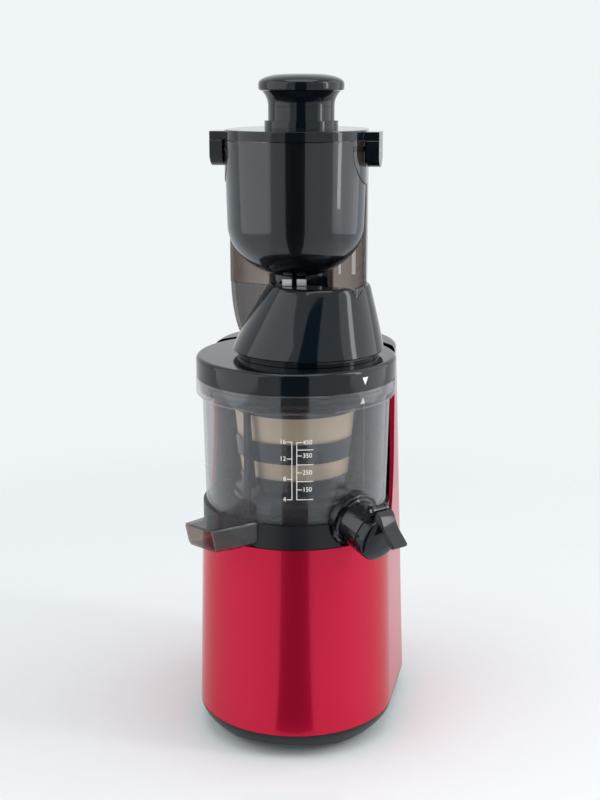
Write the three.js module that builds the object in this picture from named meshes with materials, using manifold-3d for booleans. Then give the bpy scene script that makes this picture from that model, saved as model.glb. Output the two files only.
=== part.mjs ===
// Cold press juicer: a vertical slow juicer with a red housing, a clear drum, a wide feed hopper and a pusher.
// Millimetres, +Z up, front towards -Y. The model is drawn about the drive axis, which stands at x = 0, y = 0,
// and the whole group is then shifted so that the middle of its footprint on the bench is the origin.
import * as THREE from "three";
import { mergeVertices } from "three/addons/utils/BufferGeometryUtils.js";
import Module from "manifold-3d";

const wasm = await Module();
wasm.setup();

// Clearances and overruns
const seatGap = 0.3; // between pieces that rest on or in each other
const runGap = 0.5; // between a turning or sliding piece and its neighbour
const overrun = 2; // how far a cutting shape reaches past what it cuts

// Heights above the bench
const footHeight = 3;
const trayTopZ = 21;
const deckZ = 178; // top of the red front and underside of the drum deck
const collarTopZ = 197.5;
const rimZ = 289; // underside of the drum's bayonet rim
const rimTopZ = 302.5;
const lidTopZ = 320;
const shoulderZ = 377; // top of the feed cone
const hopperZ = 490; // underside of the hopper's top plate
const hopperTopZ = 498;
const pusherTopZ = 540;

// Housing
const frontRadiusLow = 82;
const frontRadiusHigh = 78;
const rearRadiusLow = 85;
const rearRadiusHigh = 76;
const rearOffsetLow = 65;
const rearOffsetHigh = 50;
const housingWall = 3;
const columnHollowRadius = 85.5;
const rimSweepStart = 5; // where the red rim starts to rise, measured back from the drive axis
const columnEdge = 31; // where the rim has become the column's edge
const rimSweepHeight = 70;
const capHeight = 14;
const capRound = 4;
const panelWall = 2.5;
const panelEdgeShare = 0.9; // how much of the column's half width the inner panel covers
const trayTaper = 14;
const trayWall = 3;
const trayArchHeight = 8;
const trayArchHalfWidth = 42;
const trayBellyShares = { height: 0.5, inset: 0.35 };
const footRadius = 9;
const footInset = 22;
const deckPlate = 3;
const collarWall = 2.4;

// Switch and mains inlet on the back
const switchHeightZ = 70;
const switchHalfWidth = 9;
const switchHalfHeight = 14;
const bezelMargin = 3;
const bezelDepth = 2;
const switchDepth = 12;
const rockerStand = 3;
const rockerShares = { foot: 0.75, crest: 0.9, waist: 0.33 };
const glandZ = 38;
const glandRadius = 8;
const glandBore = 3.6;
const glandStand = 5;
const glandDepth = 12;

// Motor
const rotorOffset = 45; // motor shaft behind the drive axis
const statorRadius = 42;
const statorBore = 25;
const statorZ = 62;
const statorHeight = 34;
const statorSlots = 6;
const slotDepth = 10;
const slotHalfTurn = 6;
const windingStand = 11;
const windingInnerRadius = 27;
const windingOuterRadius = 35;
const rotorRadius = 24.4;
const rotorShaftRadius = 4;
const bracketWall = 3;
const bracketRadius = 40;
const bracketLegs = 4;
const bracketLegWidth = 9;
const bearingRadius = 11;
const bearingHeight = 7;
const fanRadius = 30;
const fanHeight = 9;
const fanBlades = 7;
const fanBladeWidth = 1.6;
const fanHubRadius = 9;
const fanPlate = 1.6;
const stackTopMargin = 2;
const boardHalfWidth = 30;
const boardHeight = 44;
const boardThickness = 1.6;
const capacitorRadius = 13;
const capacitorHeight = 46;

// Gears of the reduction
const firstModule = 1.5;
const firstPinionTeeth = 8;
const firstGearTeeth = 40;
const secondModule = 2;
const secondPinionTeeth = 8;
const outputGearTeeth = 36;
const gearWidth = 9;
const gearBacklash = 0.45;
const gearLevelGap = 2;
const outputHubRadius = 11;
const idlerPinRadius = 3;
const caseWall = 3;
const caseFloorZ = 126;
const caseClear = 2.5;
const shaftRadius = 7;
const hexFlats = 12;
const hexStartZ = 190;
const hexTopZ = 214;
const outputBearingRadius = 15;
const sealRadius = 11;
const sealHeight = 4;

// Drum
const drumRadiusHigh = 76.5;
const drumRadiusLow = 74.7;
const drumWall = 2.6;
const rimRadius = 81.5;
const drumFootZ = deckZ + deckPlate + seatGap;
const drumFloorZ = 184.5;
const drumFloor = 3;
const bossRadius = 12;
const bossTopZ = 199;
const bayonetStand = 1;
const bayonetWidth = 2.4;
const bayonetHalfTurn = 22.5;
const bayonetAzimuths = [41.5, -25];
const bayonetHook = 8;

// Juice spout and its cap
const spoutAzimuth = 47;
const spoutFall = 14;
const spoutZ = 199;
const spoutRadius = 18.5;
const spoutWall = 2.6;
const spoutReach = 26;
const flangeRadius = 22.5;
const flangeDepth = 4;
const capWall = 2.6;
const capDepth = 13;
const capDome = 6;
const gripLength = 26.6;
const gripStand = 4.1; // from the cap's rear face
const gripWidth = 15;
// The grip's outline: shares of its length and of the spout's radius
const gripShares = [[0, 0.74], [0, 1.31], [0.11, 1.36], [0.27, 1.2], [0.42, 0.93], [0.7, 0.62], [1, 0.4],
  [0.94, 0.24], [0.7, 0.42], [0.5, 0.64], [0.36, 0.74]];
// The dome's outline: shares of the spout's radius and of the dome's depth still to come
const domeShares = [[1, 1], [0.86, 0.35], [0.5, 0.05], [0, 0]];
const knuckleShare = 0.7;
const capEarRadius = 4;
const capPinRadius = 1.6;

// Pulp outlet
const pulpAzimuth = -32.5;
const pulpEnd = 112;
const pulpEndSlope = 5;
const pulpWidth = 31;
const pulpFlare = 10;
const pulpBottomZ = 180;
const pulpHeight = 20;
const pulpRound = 4;
const pulpWall = 2;

// Strainer, brush and auger
const meshRadiusHigh = 50.7;
const meshRadiusLow = 44;
const meshBottomZ = 214;
const meshTopZ = 280;
const meshThickness = 0.8;
const strainerWall = 1.8;
const strainerBaseRadius = 52;
const strainerBaseTopZ = 211;
const strainerTopRadius = 53.2;
const bandEdges = [224.5, 239, 255.5, 277.5]; // heights of the two mesh windows
const strainerRibs = [55, 145, 215, 305];
const ribWidth = 5;
const baseHoleRadius = 21;
const brushModule = 2;
const sunTeeth = 18;
const planetTeeth = 12;
const ringTeeth = sunTeeth + 2 * planetTeeth;
const brushGearWidth = 6.5;
const planetPinRadius = 4;
const brushInnerRadius = 54;
const brushOuterRadius = 57.5;
const brushBars = [-34, 86, 206];
const brushBarWidth = 5;
const brushTopZ = 286;
const brushRingHeight = 4;
const wiperWidth = 1.6;
const augerCoreLow = 31;
const augerCoreHigh = 20;
const augerTopZ = 285;
const augerStartZ = 203;
const augerGap = 1.2;
const augerPitchLow = 24;
const augerPitchHigh = 46;
const augerPinRadius = 4.5;
const augerPinTopZ = 306;

// Lid and hopper
const lidRadius = 81.3;
const lidPlate = 4;
const lidSkirt = 3;
const lidRound = 3.5;
const lidInnerRadius = 78.4;
const lidCollarRadius = 52.2;
const feedHoleRadius = 27;
const feedHoleOffset = 22;
const lidHubRadius = 10;
const bushRadius = 7.5;
const coneBase = { x: 10.3, y: -2.2, radius: 61 };
const coneTop = { x: 23.6, y: 4.2, radius: 36 };
const coneWall = 3;
const coneFoot = 6;
const coneUndercut = 4;
const gateRadius = 56;
const chuteRadius = 54;
const chuteOffset = 24;
const chuteFoot = { x: 4, y: 22, radius: 46 };
const hopperWall = 2.6;
const gateEdge = 6; // the gate ends this far behind its pivot
const gateDraft = 1.5;
const gateStraightZ = 425;
const pivotZ = 483;
const plateSplitRadius = 26;
const earInset = 0.8;
const earWidth = 10;
const earHalfDepth = 12;
const earBottomZ = 469.5;
const earTopZ = 496.5;
const pinRadius = 2.5;
const pivotBossRadius = 6;
const catchSpots = [
  { x: -4.1, y: -16.5 },
  { x: 7.2, y: -14.6 },
];
const catchWidth = 7.5;
const catchDepth = 3;
const catchHeight = 5.5;
const pusherOffset = 24;
const pusherRadius = 26.5;
const pusherHeadRadius = 34.2;
const pusherHeadHeight = 13;
const pusherWall = 2.6;
const pusherRound = 2;
const pusherBottomZ = 345;
const pusherNeck = 12; // height over which the head narrows to the shaft
const pusherNeckFlare = 5;
const neckShares = [[1, 0], [0.6, 0.2], [0.25, 0.5], [0, 1]];
// The head's outline: shares of its height and of its round edge's width
const headShares = [[0.12, 0], [0.45, 0], [0.75, 0.3], [0.95, 1]];
const headEdge = 5;
const headCrownShare = 0.5;
const pusherCollarHeight = 6;
const pusherCollarWall = 2.5;

// Small sizes of the drum, spout, strainer and hopper pieces
const drumFoot = 3;
const rimStep = 3;
const rimInner = 79;
const hookShare = 0.85;
const plugRadius = 7;
const plugDistance = 31;
const plugLip = 1.8;
const strainerPlate = 3;
const earGap = 5;
const capPinY = 22.5;
const plugCoreRadius = 12.5;
const plugDepth = 4;
const augerLevels = 16;
const augerFade = 6;
const augerFadeLeastShare = 0.1;
// Corners of the auger's section over half a turn: share of the half turn, share of the flight's height
const flightShares = [[-0.256, 0.35], [-0.133, 1], [0, 1], [0.133, 1], [0.256, 0.35], [0.378, 0], [0.622, 0]];
const sealThickness = 2.8;
const hubBottomZ = 297;
const chuteFrontReach = 7;
const chuteFrontRise = 15;
const coneCurve = 1.25;
const chuteShares = [0, 0.35, 0.7, 1];
const earStart = gateRadius + earInset;
const gateBottomZ = 382.5;
const bowlCloseShare = 0.98;
const bowlBands = 5;
const armThickness = 3;
const armReach = 43;
const armLean = 45;
const armInner = Math.sqrt((gateRadius - hopperWall) ** 2 - plateSplitRadius ** 2) - runGap - armThickness;
const headPlug = 8;

// Facets
const roundSteps = 28;
const innerSteps = 20;
const smallSteps = 10;
const tinySteps = 6;
const weld = 1e-4;

const QUARTER = Math.PI / 2;
const rad = THREE.MathUtils.degToRad;
const lerp = THREE.MathUtils.lerp;

// Turns a closed three.js geometry into a solid, with its faces pointing out.
function toSolid(geometry) {
  let welded = geometry;
  if (!geometry.userData.welded) {
    const bare = geometry.clone();
    bare.deleteAttribute("normal");
    bare.deleteAttribute("uv");
    welded = mergeVertices(bare, weld);
  }
  const corners = welded.index.array;
  const kept = [];
  for (let i = 0; i < corners.length; i += 3) {
    const [a, b, c] = [corners[i], corners[i + 1], corners[i + 2]];
    if (a !== b && b !== c && c !== a) kept.push(a, b, c);
  }
  const build = (triangles) =>
    new wasm.Manifold(
      new wasm.Mesh({
        numProp: 3,
        vertProperties: new Float32Array(welded.attributes.position.array),
        triVerts: new Uint32Array(triangles),
      }),
    );
  const solid = build(kept);
  return solid.volume() < 0 ? build(kept.reverse()) : solid;
}

function fromSolid(solid) {
  const mesh = solid.getMesh();
  const geometry = new THREE.BufferGeometry();
  geometry.setAttribute("position", new THREE.BufferAttribute(new Float32Array(mesh.vertProperties), 3));
  geometry.setIndex(new THREE.BufferAttribute(new Uint32Array(mesh.triVerts), 1));
  geometry.userData.welded = true;
  return geometry;
}

const join = (first, ...rest) =>
  fromSolid(rest.reduce((whole, piece) => whole.add(toSolid(piece)), toSolid(first)));
const cut = (body, ...tools) =>
  fromSolid(tools.reduce((left, tool) => left.subtract(toSolid(tool)), toSolid(body)));
const common = (first, second) => fromSolid(toSolid(first).intersect(toSolid(second)));

// Turns a profile of [radius, height] points about Z. Azimuth 0 is the front.
function revolve(profile, segments = roundSteps) {
  const points = profile.map(([radius, z]) => new THREE.Vector2(radius, z));
  const last = points[points.length - 1];
  if (points[0].x > 0 || last.x > 0) points.push(points[0].clone());
  return new THREE.LatheGeometry(points, segments).rotateX(QUARTER);
}

function tube(outer, inner, bottom, top, segments = roundSteps) {
  return revolve([[inner, bottom], [outer, bottom], [outer, top], [inner, top]], segments);
}

function rod(radius, bottom, top, segments = smallSteps) {
  return revolve([[0, bottom], [radius, bottom], [radius, top], [0, top]], segments);
}

// The radius of a faceted bore in which a faceted rod of this radius can turn.
function boreRadius(radius, segments = smallSteps) {
  return (radius + seatGap) / Math.cos((2 * QUARTER) / segments);
}

function block(x0, x1, y0, y1, z0, z1) {
  return new THREE.BoxGeometry(x1 - x0, y1 - y0, z1 - z0).translate((x0 + x1) / 2, (y0 + y1) / 2, (z0 + z1) / 2);
}

// Raises a flat outline of [x, y] points from one height to another.
function raise(outline, bottom, top) {
  const shape = new THREE.Shape(outline.map(([x, y]) => new THREE.Vector2(x, y)));
  return new THREE.ExtrudeGeometry(shape, { depth: top - bottom, bevelEnabled: false }).translate(0, 0, bottom);
}

// Skins rings of equal point count, in order, and closes both ends.
function loft(rings) {
  const count = rings[0].length;
  const points = rings.flat();
  const faces = [];
  for (let level = 0; level < rings.length - 1; level += 1) {
    for (let i = 0; i < count; i += 1) {
      const a = level * count + i;
      const b = level * count + ((i + 1) % count);
      faces.push(a, b, b + count, a, b + count, a + count);
    }
  }
  for (const [level, turn] of [[0, 1], [rings.length - 1, -1]]) {
    const ring = rings[level];
    const middle = points.push(ring[0].map((_, k) => ring.reduce((sum, p) => sum + p[k], 0) / count)) - 1;
    for (let i = 0; i < count; i += 1) {
      const a = level * count + i;
      const b = level * count + ((i + 1) % count);
      if (turn > 0) faces.push(middle, b, a);
      else faces.push(middle, a, b);
    }
  }
  const geometry = new THREE.BufferGeometry();
  geometry.setAttribute("position", new THREE.BufferAttribute(new Float32Array(points.flat()), 3));
  geometry.setIndex(faces);
  geometry.userData.welded = true;
  return geometry;
}

// A ring at height z round two circles, one at the axis and one behind it: the plan of the housing and hopper.
function twoCircleRing(frontRadius, rearRadius, offset, z, steps = innerSteps) {
  const side = QUARTER - Math.asin((rearRadius - frontRadius) / offset);
  const half = steps / 2;
  const ring = [];
  for (let i = 0; i <= half; i += 1) {
    const angle = lerp(-side, side, i / half);
    ring.push([frontRadius * Math.sin(angle), -frontRadius * Math.cos(angle), z]);
  }
  for (let i = 0; i <= half; i += 1) {
    const angle = lerp(side, 4 * QUARTER - side, i / half);
    ring.push([rearRadius * Math.sin(angle), offset - rearRadius * Math.cos(angle), z]);
  }
  return ring;
}

function circleRing(x, y, radius, z, steps = innerSteps) {
  return Array.from({ length: steps }, (_, i) => {
    const angle = (i / steps) * 4 * QUARTER;
    return [x + radius * Math.sin(angle), y - radius * Math.cos(angle), z];
  });
}

const LOOKS = {
  red: { color: 0xb0152b, roughness: 0.22, metalness: 0.6 },
  gloss: { color: 0x0d0f12, roughness: 0.12, metalness: 0 },
  satin: { color: 0x17181a, roughness: 0.5, metalness: 0 },
  smoke: { color: 0x6e6660, roughness: 0.08, metalness: 0 },
  darkSmoke: { color: 0x2a2624, roughness: 0.08, metalness: 0 },
  rubber: { color: 0x151515, roughness: 0.85, metalness: 0 },
  steel: { color: 0xa8a9ab, roughness: 0.3, metalness: 1 },
  mesh: { color: 0xb9a98c, roughness: 0.45, metalness: 0.8 },
  copper: { color: 0x9c4f26, roughness: 0.35, metalness: 1 },
  nylon: { color: 0xd8d4c6, roughness: 0.5, metalness: 0 },
  board: { color: 0x1c5a34, roughness: 0.5, metalness: 0 },
};

function piece(name, geometry, look, parent) {
  const mesh = new THREE.Mesh(geometry, new THREE.MeshStandardMaterial(LOOKS[look]));
  mesh.name = name;
  parent.add(mesh);
  return mesh;
}

function group(parent, x = 0, y = 0, z = 0) {
  const made = new THREE.Group();
  made.position.set(x, y, z);
  parent.add(made);
  return made;
}

// The housing's plan at a height, drawn in by an inset.
function housingRing(z, inset = 0) {
  const share = (z - trayTopZ) / (lidTopZ - trayTopZ);
  const frontShare = (z - trayTopZ) / (deckZ - trayTopZ);
  const front = lerp(frontRadiusLow, frontRadiusHigh, Math.min(frontShare, 1)) - inset;
  const rear = lerp(rearRadiusLow, rearRadiusHigh, share) - inset;
  return twoCircleRing(front, rear, lerp(rearOffsetLow, rearOffsetHigh, share), z, roundSteps);
}

// Everything in front of the column above the deck: the red rim sweeps up from the deck to the column's edge.
function spaceOverDeck() {
  const far = -rearOffsetLow - rearRadiusLow;
  const sweep = Array.from({ length: 9 }, (_, i) => {
    const turn = (i / 8) * QUARTER;
    return [lerp(rimSweepStart, columnEdge, Math.sin(turn)), deckZ + rimSweepHeight * (1 - Math.cos(turn))];
  });
  const outline = [[far, deckZ], ...sweep, [columnEdge, lidTopZ + overrun], [far, lidTopZ + overrun]];
  const side = raise(outline, far, -far);
  return side.applyMatrix4(new THREE.Matrix4().makeBasis(
    new THREE.Vector3(0, 1, 0), new THREE.Vector3(0, 0, 1), new THREE.Vector3(1, 0, 0)));
}

function addHousing(root) {
  const columnTop = lidTopZ - capHeight;
  const outer = loft([housingRing(trayTopZ), housingRing(deckZ), housingRing(columnTop)]);
  const inner = loft([
    housingRing(trayTopZ - overrun, housingWall),
    housingRing(deckZ, housingWall),
    housingRing(columnTop + overrun, housingWall),
  ]);
  const wallSpace = rod(frontRadiusHigh + seatGap, deckZ, lidTopZ + overrun, roundSteps);
  const rimSpace = rod(columnHollowRadius, rimZ - rimStep - runGap, lidTopZ + overrun, roundSteps);
  const backY = rearOffsetLow + rearRadiusLow;
  const switchHole = block(-switchHalfWidth, switchHalfWidth, backY / 2, backY + overrun,
    switchHeightZ - switchHalfHeight, switchHeightZ + switchHalfHeight);
  const glandHole = rod(glandRadius, backY / 2, backY + overrun)
    .rotateX(-QUARTER).translate(0, 0, glandZ);
  piece("body_shell", cut(outer, inner, wallSpace, rimSpace, spaceOverDeck(), switchHole, glandHole), "red", root);

  const panelBody = tube(columnHollowRadius + panelWall, columnHollowRadius + seatGap, deckZ + seatGap, columnTop);
  const insideShell = loft([
    housingRing(deckZ, housingWall + seatGap),
    housingRing(columnTop - seatGap, housingWall + seatGap),
  ]);
  const behindEdge = block(-frontRadiusHigh * panelEdgeShare, frontRadiusHigh * panelEdgeShare,
    columnEdge, backY, deckZ, columnTop);
  piece("column_panel", common(common(panelBody, insideShell), behindEdge), "satin", root);

  const capBody = loft([
    housingRing(columnTop + seatGap),
    housingRing(lidTopZ - capRound),
    housingRing(lidTopZ - capRound * (1 - Math.SQRT1_2), capRound * (1 - Math.SQRT1_2)),
    housingRing(lidTopZ, capRound),
  ]);
  piece("column_cap", cut(capBody, rimSpace, spaceOverDeck()), "gloss", root);

  const bellyZ = lerp(footHeight, trayTopZ, trayBellyShares.height);
  const bellyInset = trayTaper * trayBellyShares.inset;
  const trayOuter = loft([
    housingRing(footHeight, trayTaper),
    housingRing(bellyZ, bellyInset),
    housingRing(trayTopZ - seatGap, 0),
  ]);
  const trayInner = loft([
    housingRing(footHeight + trayWall, trayTaper + trayWall),
    housingRing(bellyZ, bellyInset + trayWall),
    housingRing(trayTopZ + overrun, trayWall),
  ]);
  const arch = new THREE.CylinderGeometry(trayArchHalfWidth, trayArchHalfWidth, frontRadiusLow, roundSteps)
    .scale(1, 1, trayArchHeight / trayArchHalfWidth)
    .translate(0, -frontRadiusLow, footHeight);
  const archOuter = cut(trayOuter, arch);
  const archRoof = arch.clone().translate(0, trayWall, trayWall);
  piece("base_tray", cut(archOuter, cut(trayInner, archRoof)), "satin", root);

  for (const [row, y] of [["front", -1], ["rear", 1]]) {
    for (const [hand, x] of [["left", -1], ["right", 1]]) {
      const ring = y < 0 ? frontRadiusLow : rearRadiusLow;
      const reach = (ring - footInset - trayTaper / 2) * Math.SQRT1_2;
      const spot = group(root, x * reach, (y < 0 ? 0 : rearOffsetLow) + y * reach);
      piece(`foot_${row}_${hand}`, rod(footRadius, 0, footHeight - seatGap), "rubber", spot);
    }
  }

  const collar = tube(frontRadiusHigh - seatGap - runGap, frontRadiusHigh - runGap - collarWall,
    deckZ + seatGap, collarTopZ, roundSteps);
  const plate = rod(frontRadiusHigh - runGap - collarWall / 2, deckZ + seatGap, deckZ + deckPlate, roundSteps);
  const pulpGap = block(-pulpWidth / 2 - runGap, pulpWidth / 2 + pulpFlare + runGap, -pulpEnd, 0,
    deckZ - overrun, collarTopZ + overrun).rotateZ(rad(pulpAzimuth));
  const spoutGap = join(
    rod(flangeRadius + runGap * 2, 0, pulpEnd, roundSteps).rotateX(QUARTER).translate(0, 0, spoutZ),
    block(-flangeRadius - runGap * 2, flangeRadius + runGap * 2, -pulpEnd, 0, spoutZ, spoutZ + flangeRadius),
  ).rotateZ(rad(spoutAzimuth));
  const ringOnly = rod(frontRadiusHigh - collarWall * 2, deckZ - overrun, collarTopZ + overrun, roundSteps);
  const shaftHole = rod(sealRadius + seatGap, deckZ - overrun, collarTopZ);
  piece("drum_deck", cut(join(collar, plate), cut(pulpGap, ringOnly), cut(spoutGap, ringOnly), shaftHole),
    "gloss", root);
}

// The rear wall's place at a height, on the housing's middle plane.
function rearWallY(z) {
  return Math.max(...housingRing(z).map((point) => point[1]));
}

function addSwitchAndInlet(root) {
  const face = rearWallY(switchHeightZ - switchHalfHeight) + seatGap;
  const bezelOuter = block(-switchHalfWidth - bezelMargin, switchHalfWidth + bezelMargin, face, face + bezelDepth,
    switchHeightZ - switchHalfHeight - bezelMargin, switchHeightZ + switchHalfHeight + bezelMargin);
  const body = block(-switchHalfWidth + seatGap, switchHalfWidth - seatGap, face - switchDepth, face + bezelDepth,
    switchHeightZ - switchHalfHeight + seatGap, switchHeightZ + switchHalfHeight - seatGap);
  const well = block(-switchHalfWidth + bezelDepth, switchHalfWidth - bezelDepth, face - switchDepth + bezelDepth,
    face + bezelDepth + overrun, switchHeightZ - switchHalfHeight + bezelDepth,
    switchHeightZ + switchHalfHeight - bezelDepth);
  piece("switch_bezel", cut(join(bezelOuter, body), well), "satin", root);

  const rockerHalf = switchHalfHeight - bezelDepth - runGap;
  const rockerDepth = switchDepth - bezelDepth;
  const { foot, crest, waist } = rockerShares;
  const profile = [[0, -rockerHalf * foot], [rockerStand, -rockerHalf * crest], [0, 0],
    [rockerStand, rockerHalf * crest], [0, rockerHalf * foot], [-rockerDepth / 2, rockerHalf * waist],
    [-rockerDepth / 2, -rockerHalf * waist]];
  const half = switchHalfWidth - bezelDepth - runGap;
  const rocker = raise(profile.map(([y, z]) => [y + bezelDepth, z]), -half, half)
    .applyMatrix4(new THREE.Matrix4().makeBasis(
      new THREE.Vector3(0, 1, 0), new THREE.Vector3(0, 0, 1), new THREE.Vector3(1, 0, 0)));
  piece("rocker_switch", join(rocker), "gloss", group(root, 0, face, switchHeightZ));

  const glandFace = rearWallY(glandZ - glandRadius - bezelMargin);
  const gland = revolve([
    [glandBore, -glandDepth], [glandRadius - seatGap, -glandDepth], [glandRadius - seatGap, seatGap],
    [glandRadius + bezelMargin, seatGap + bezelDepth], [glandRadius + bezelMargin, bezelDepth * 2],
    [glandRadius - bezelDepth, glandStand + bezelDepth], [glandBore, glandStand + bezelDepth],
  ], smallSteps).rotateX(-QUARTER);
  piece("mains_gland", join(gland), "rubber", group(root, 0, glandFace, glandZ));
}

// Gear teeth with straight flanks between the involute's points at the root, pitch and tip circles.
function gearOutline({ module, teeth, phase, rise = 0.8, fall = 1, play = gearBacklash, points = 2 }) {
  const pitch = (module * teeth) / 2;
  const pressure = rad(20);
  const base = pitch * Math.cos(pressure);
  const spread = (angle) => Math.tan(angle) - angle;
  const halfAngle = (radius) => {
    const at = Math.max(radius, base);
    return QUARTER / teeth - play / (4 * pitch) + spread(pressure) - spread(Math.acos(base / at));
  };
  const radii = points === 3 ? [pitch - module * fall, pitch, pitch + module * rise]
    : [pitch - module * fall, pitch + module * rise];
  const outline = [];
  for (let tooth = 0; tooth < teeth; tooth += 1) {
    const middle = phase + (tooth / teeth) * 4 * QUARTER;
    for (const radius of radii) {
      outline.push([radius * Math.cos(middle - halfAngle(radius)), radius * Math.sin(middle - halfAngle(radius))]);
    }
    for (const radius of [...radii].reverse()) {
      outline.push([radius * Math.cos(middle + halfAngle(radius)), radius * Math.sin(middle + halfAngle(radius))]);
    }
  }
  return outline;
}

const firstDistance = (firstModule * (firstPinionTeeth + firstGearTeeth)) / 2;
const secondDistance = (secondModule * (secondPinionTeeth + outputGearTeeth)) / 2;
const idlerY = (secondDistance ** 2 - firstDistance ** 2 + rotorOffset ** 2) / (2 * rotorOffset);
const idlerX = Math.sqrt(secondDistance ** 2 - idlerY ** 2);
const firstLevelZ = caseFloorZ + caseWall + gearLevelGap;
const secondLevelZ = firstLevelZ + gearWidth + gearLevelGap;
const caseTopZ = secondLevelZ + gearWidth + gearLevelGap;

function addMotor(root, rotor) {
  const spot = group(root, 0, rotorOffset);
  const statorTopZ = statorZ + statorHeight;
  const slots = Array.from({ length: statorSlots }, (_, i) => (i / statorSlots) * 4 * QUARTER);
  const slotHalf = windingInnerRadius * Math.tan(rad(slotHalfTurn));
  const slot = (grow) => block(-slotHalf - grow, slotHalf + grow, windingInnerRadius - grow,
    windingOuterRadius + grow, statorZ - overrun, statorTopZ + overrun);
  piece("motor_stator", cut(
    tube(statorRadius, statorBore, statorZ, statorTopZ, smallSteps * 2),
    ...slots.map((turn) => slot(seatGap).rotateZ(turn)),
  ), "steel", spot);
  piece("stator_windings", join(
    tube(windingOuterRadius, windingInnerRadius, statorTopZ + seatGap, statorTopZ + windingStand, smallSteps * 2),
    tube(windingOuterRadius, windingInnerRadius, statorZ - windingStand, statorZ - seatGap, smallSteps * 2),
    ...slots.map((turn) => slot(0).rotateZ(turn)),
  ), "copper", spot);

  const bracket = (plateZ, legTop, legBottom, up) => {
    const hubTop = up > 0 ? plateZ + bracketWall + bearingHeight : plateZ + bracketWall;
    const hubBottom = up > 0 ? plateZ : plateZ - bearingHeight;
    const hub = rod(bearingRadius + bracketWall, hubBottom, hubTop);
    const legs = Array.from({ length: bracketLegs }, (_, i) =>
      block(-bracketLegWidth / 2, bracketLegWidth / 2, 0, bracketRadius, plateZ, plateZ + bracketWall)
        .rotateZ(((i + 0.5) / bracketLegs) * 4 * QUARTER));
    const posts = Array.from({ length: bracketLegs }, (_, i) =>
      block(-bracketLegWidth / 2, bracketLegWidth / 2, bracketRadius - bracketWall, bracketRadius, legBottom, legTop)
        .rotateZ(((i + 0.5) / bracketLegs) * 4 * QUARTER));
    return cut(join(hub, ...legs, ...posts),
      rod(rotorShaftRadius + 2 * runGap, hubBottom - overrun, hubTop + overrun, tinySteps),
      up > 0 ? rod(bearingRadius + seatGap, hubBottom - overrun, hubTop - bracketWall)
        : rod(bearingRadius + seatGap, hubBottom + bracketWall, hubTop + overrun));
  };
  const lowPlate = statorZ - windingStand - bracketWall - stackTopMargin;
  const highPlate = statorTopZ + windingStand + stackTopMargin;
  piece("motor_bracket_lower", bracket(lowPlate, statorZ - seatGap, lowPlate, -1), "steel", spot);
  piece("motor_bracket_upper", bracket(highPlate, caseFloorZ - seatGap, statorTopZ + seatGap, 1), "steel", spot);
  const bearing = () => tube(bearingRadius, rotorShaftRadius + seatGap, 0, bearingHeight - 2 * seatGap, smallSteps);
  const lowBearing = bearing().translate(0, 0, lowPlate - bearingHeight + bracketWall + seatGap);
  const highBearing = bearing().translate(0, 0, highPlate + seatGap);
  piece("motor_bearing_lower", join(lowBearing), "steel", spot);
  piece("motor_bearing_upper", join(highBearing), "steel", spot);

  const rotorSpot = group(rotor, 0, rotorOffset);
  const fanZ = lowPlate - bearingHeight - gearLevelGap - fanHeight;
  const pinion = raise(gearOutline({ module: firstModule, teeth: firstPinionTeeth,
    phase: Math.atan2(idlerY - rotorOffset, idlerX), points: 3 }), firstLevelZ, firstLevelZ + gearWidth);
  piece("motor_rotor", join(
    rod(rotorShaftRadius, fanZ - overrun, firstLevelZ + gearWidth),
    rod(rotorRadius, statorZ, statorTopZ, smallSteps * 2),
    pinion,
  ), "steel", rotorSpot);
  const blades = Array.from({ length: fanBlades }, (_, i) =>
    block(-fanBladeWidth / 2, fanBladeWidth / 2, fanHubRadius - fanBladeWidth, fanRadius, fanZ, fanZ + fanHeight)
      .rotateZ((i / fanBlades) * 4 * QUARTER));
  piece("cooling_fan", cut(
    join(rod(fanHubRadius, fanZ, fanZ + fanHeight), rod(fanRadius, fanZ, fanZ + fanPlate), ...blades),
    rod(rotorShaftRadius + seatGap, fanZ - overrun, fanZ + fanHeight + overrun),
  ), "satin", rotorSpot);
}

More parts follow.
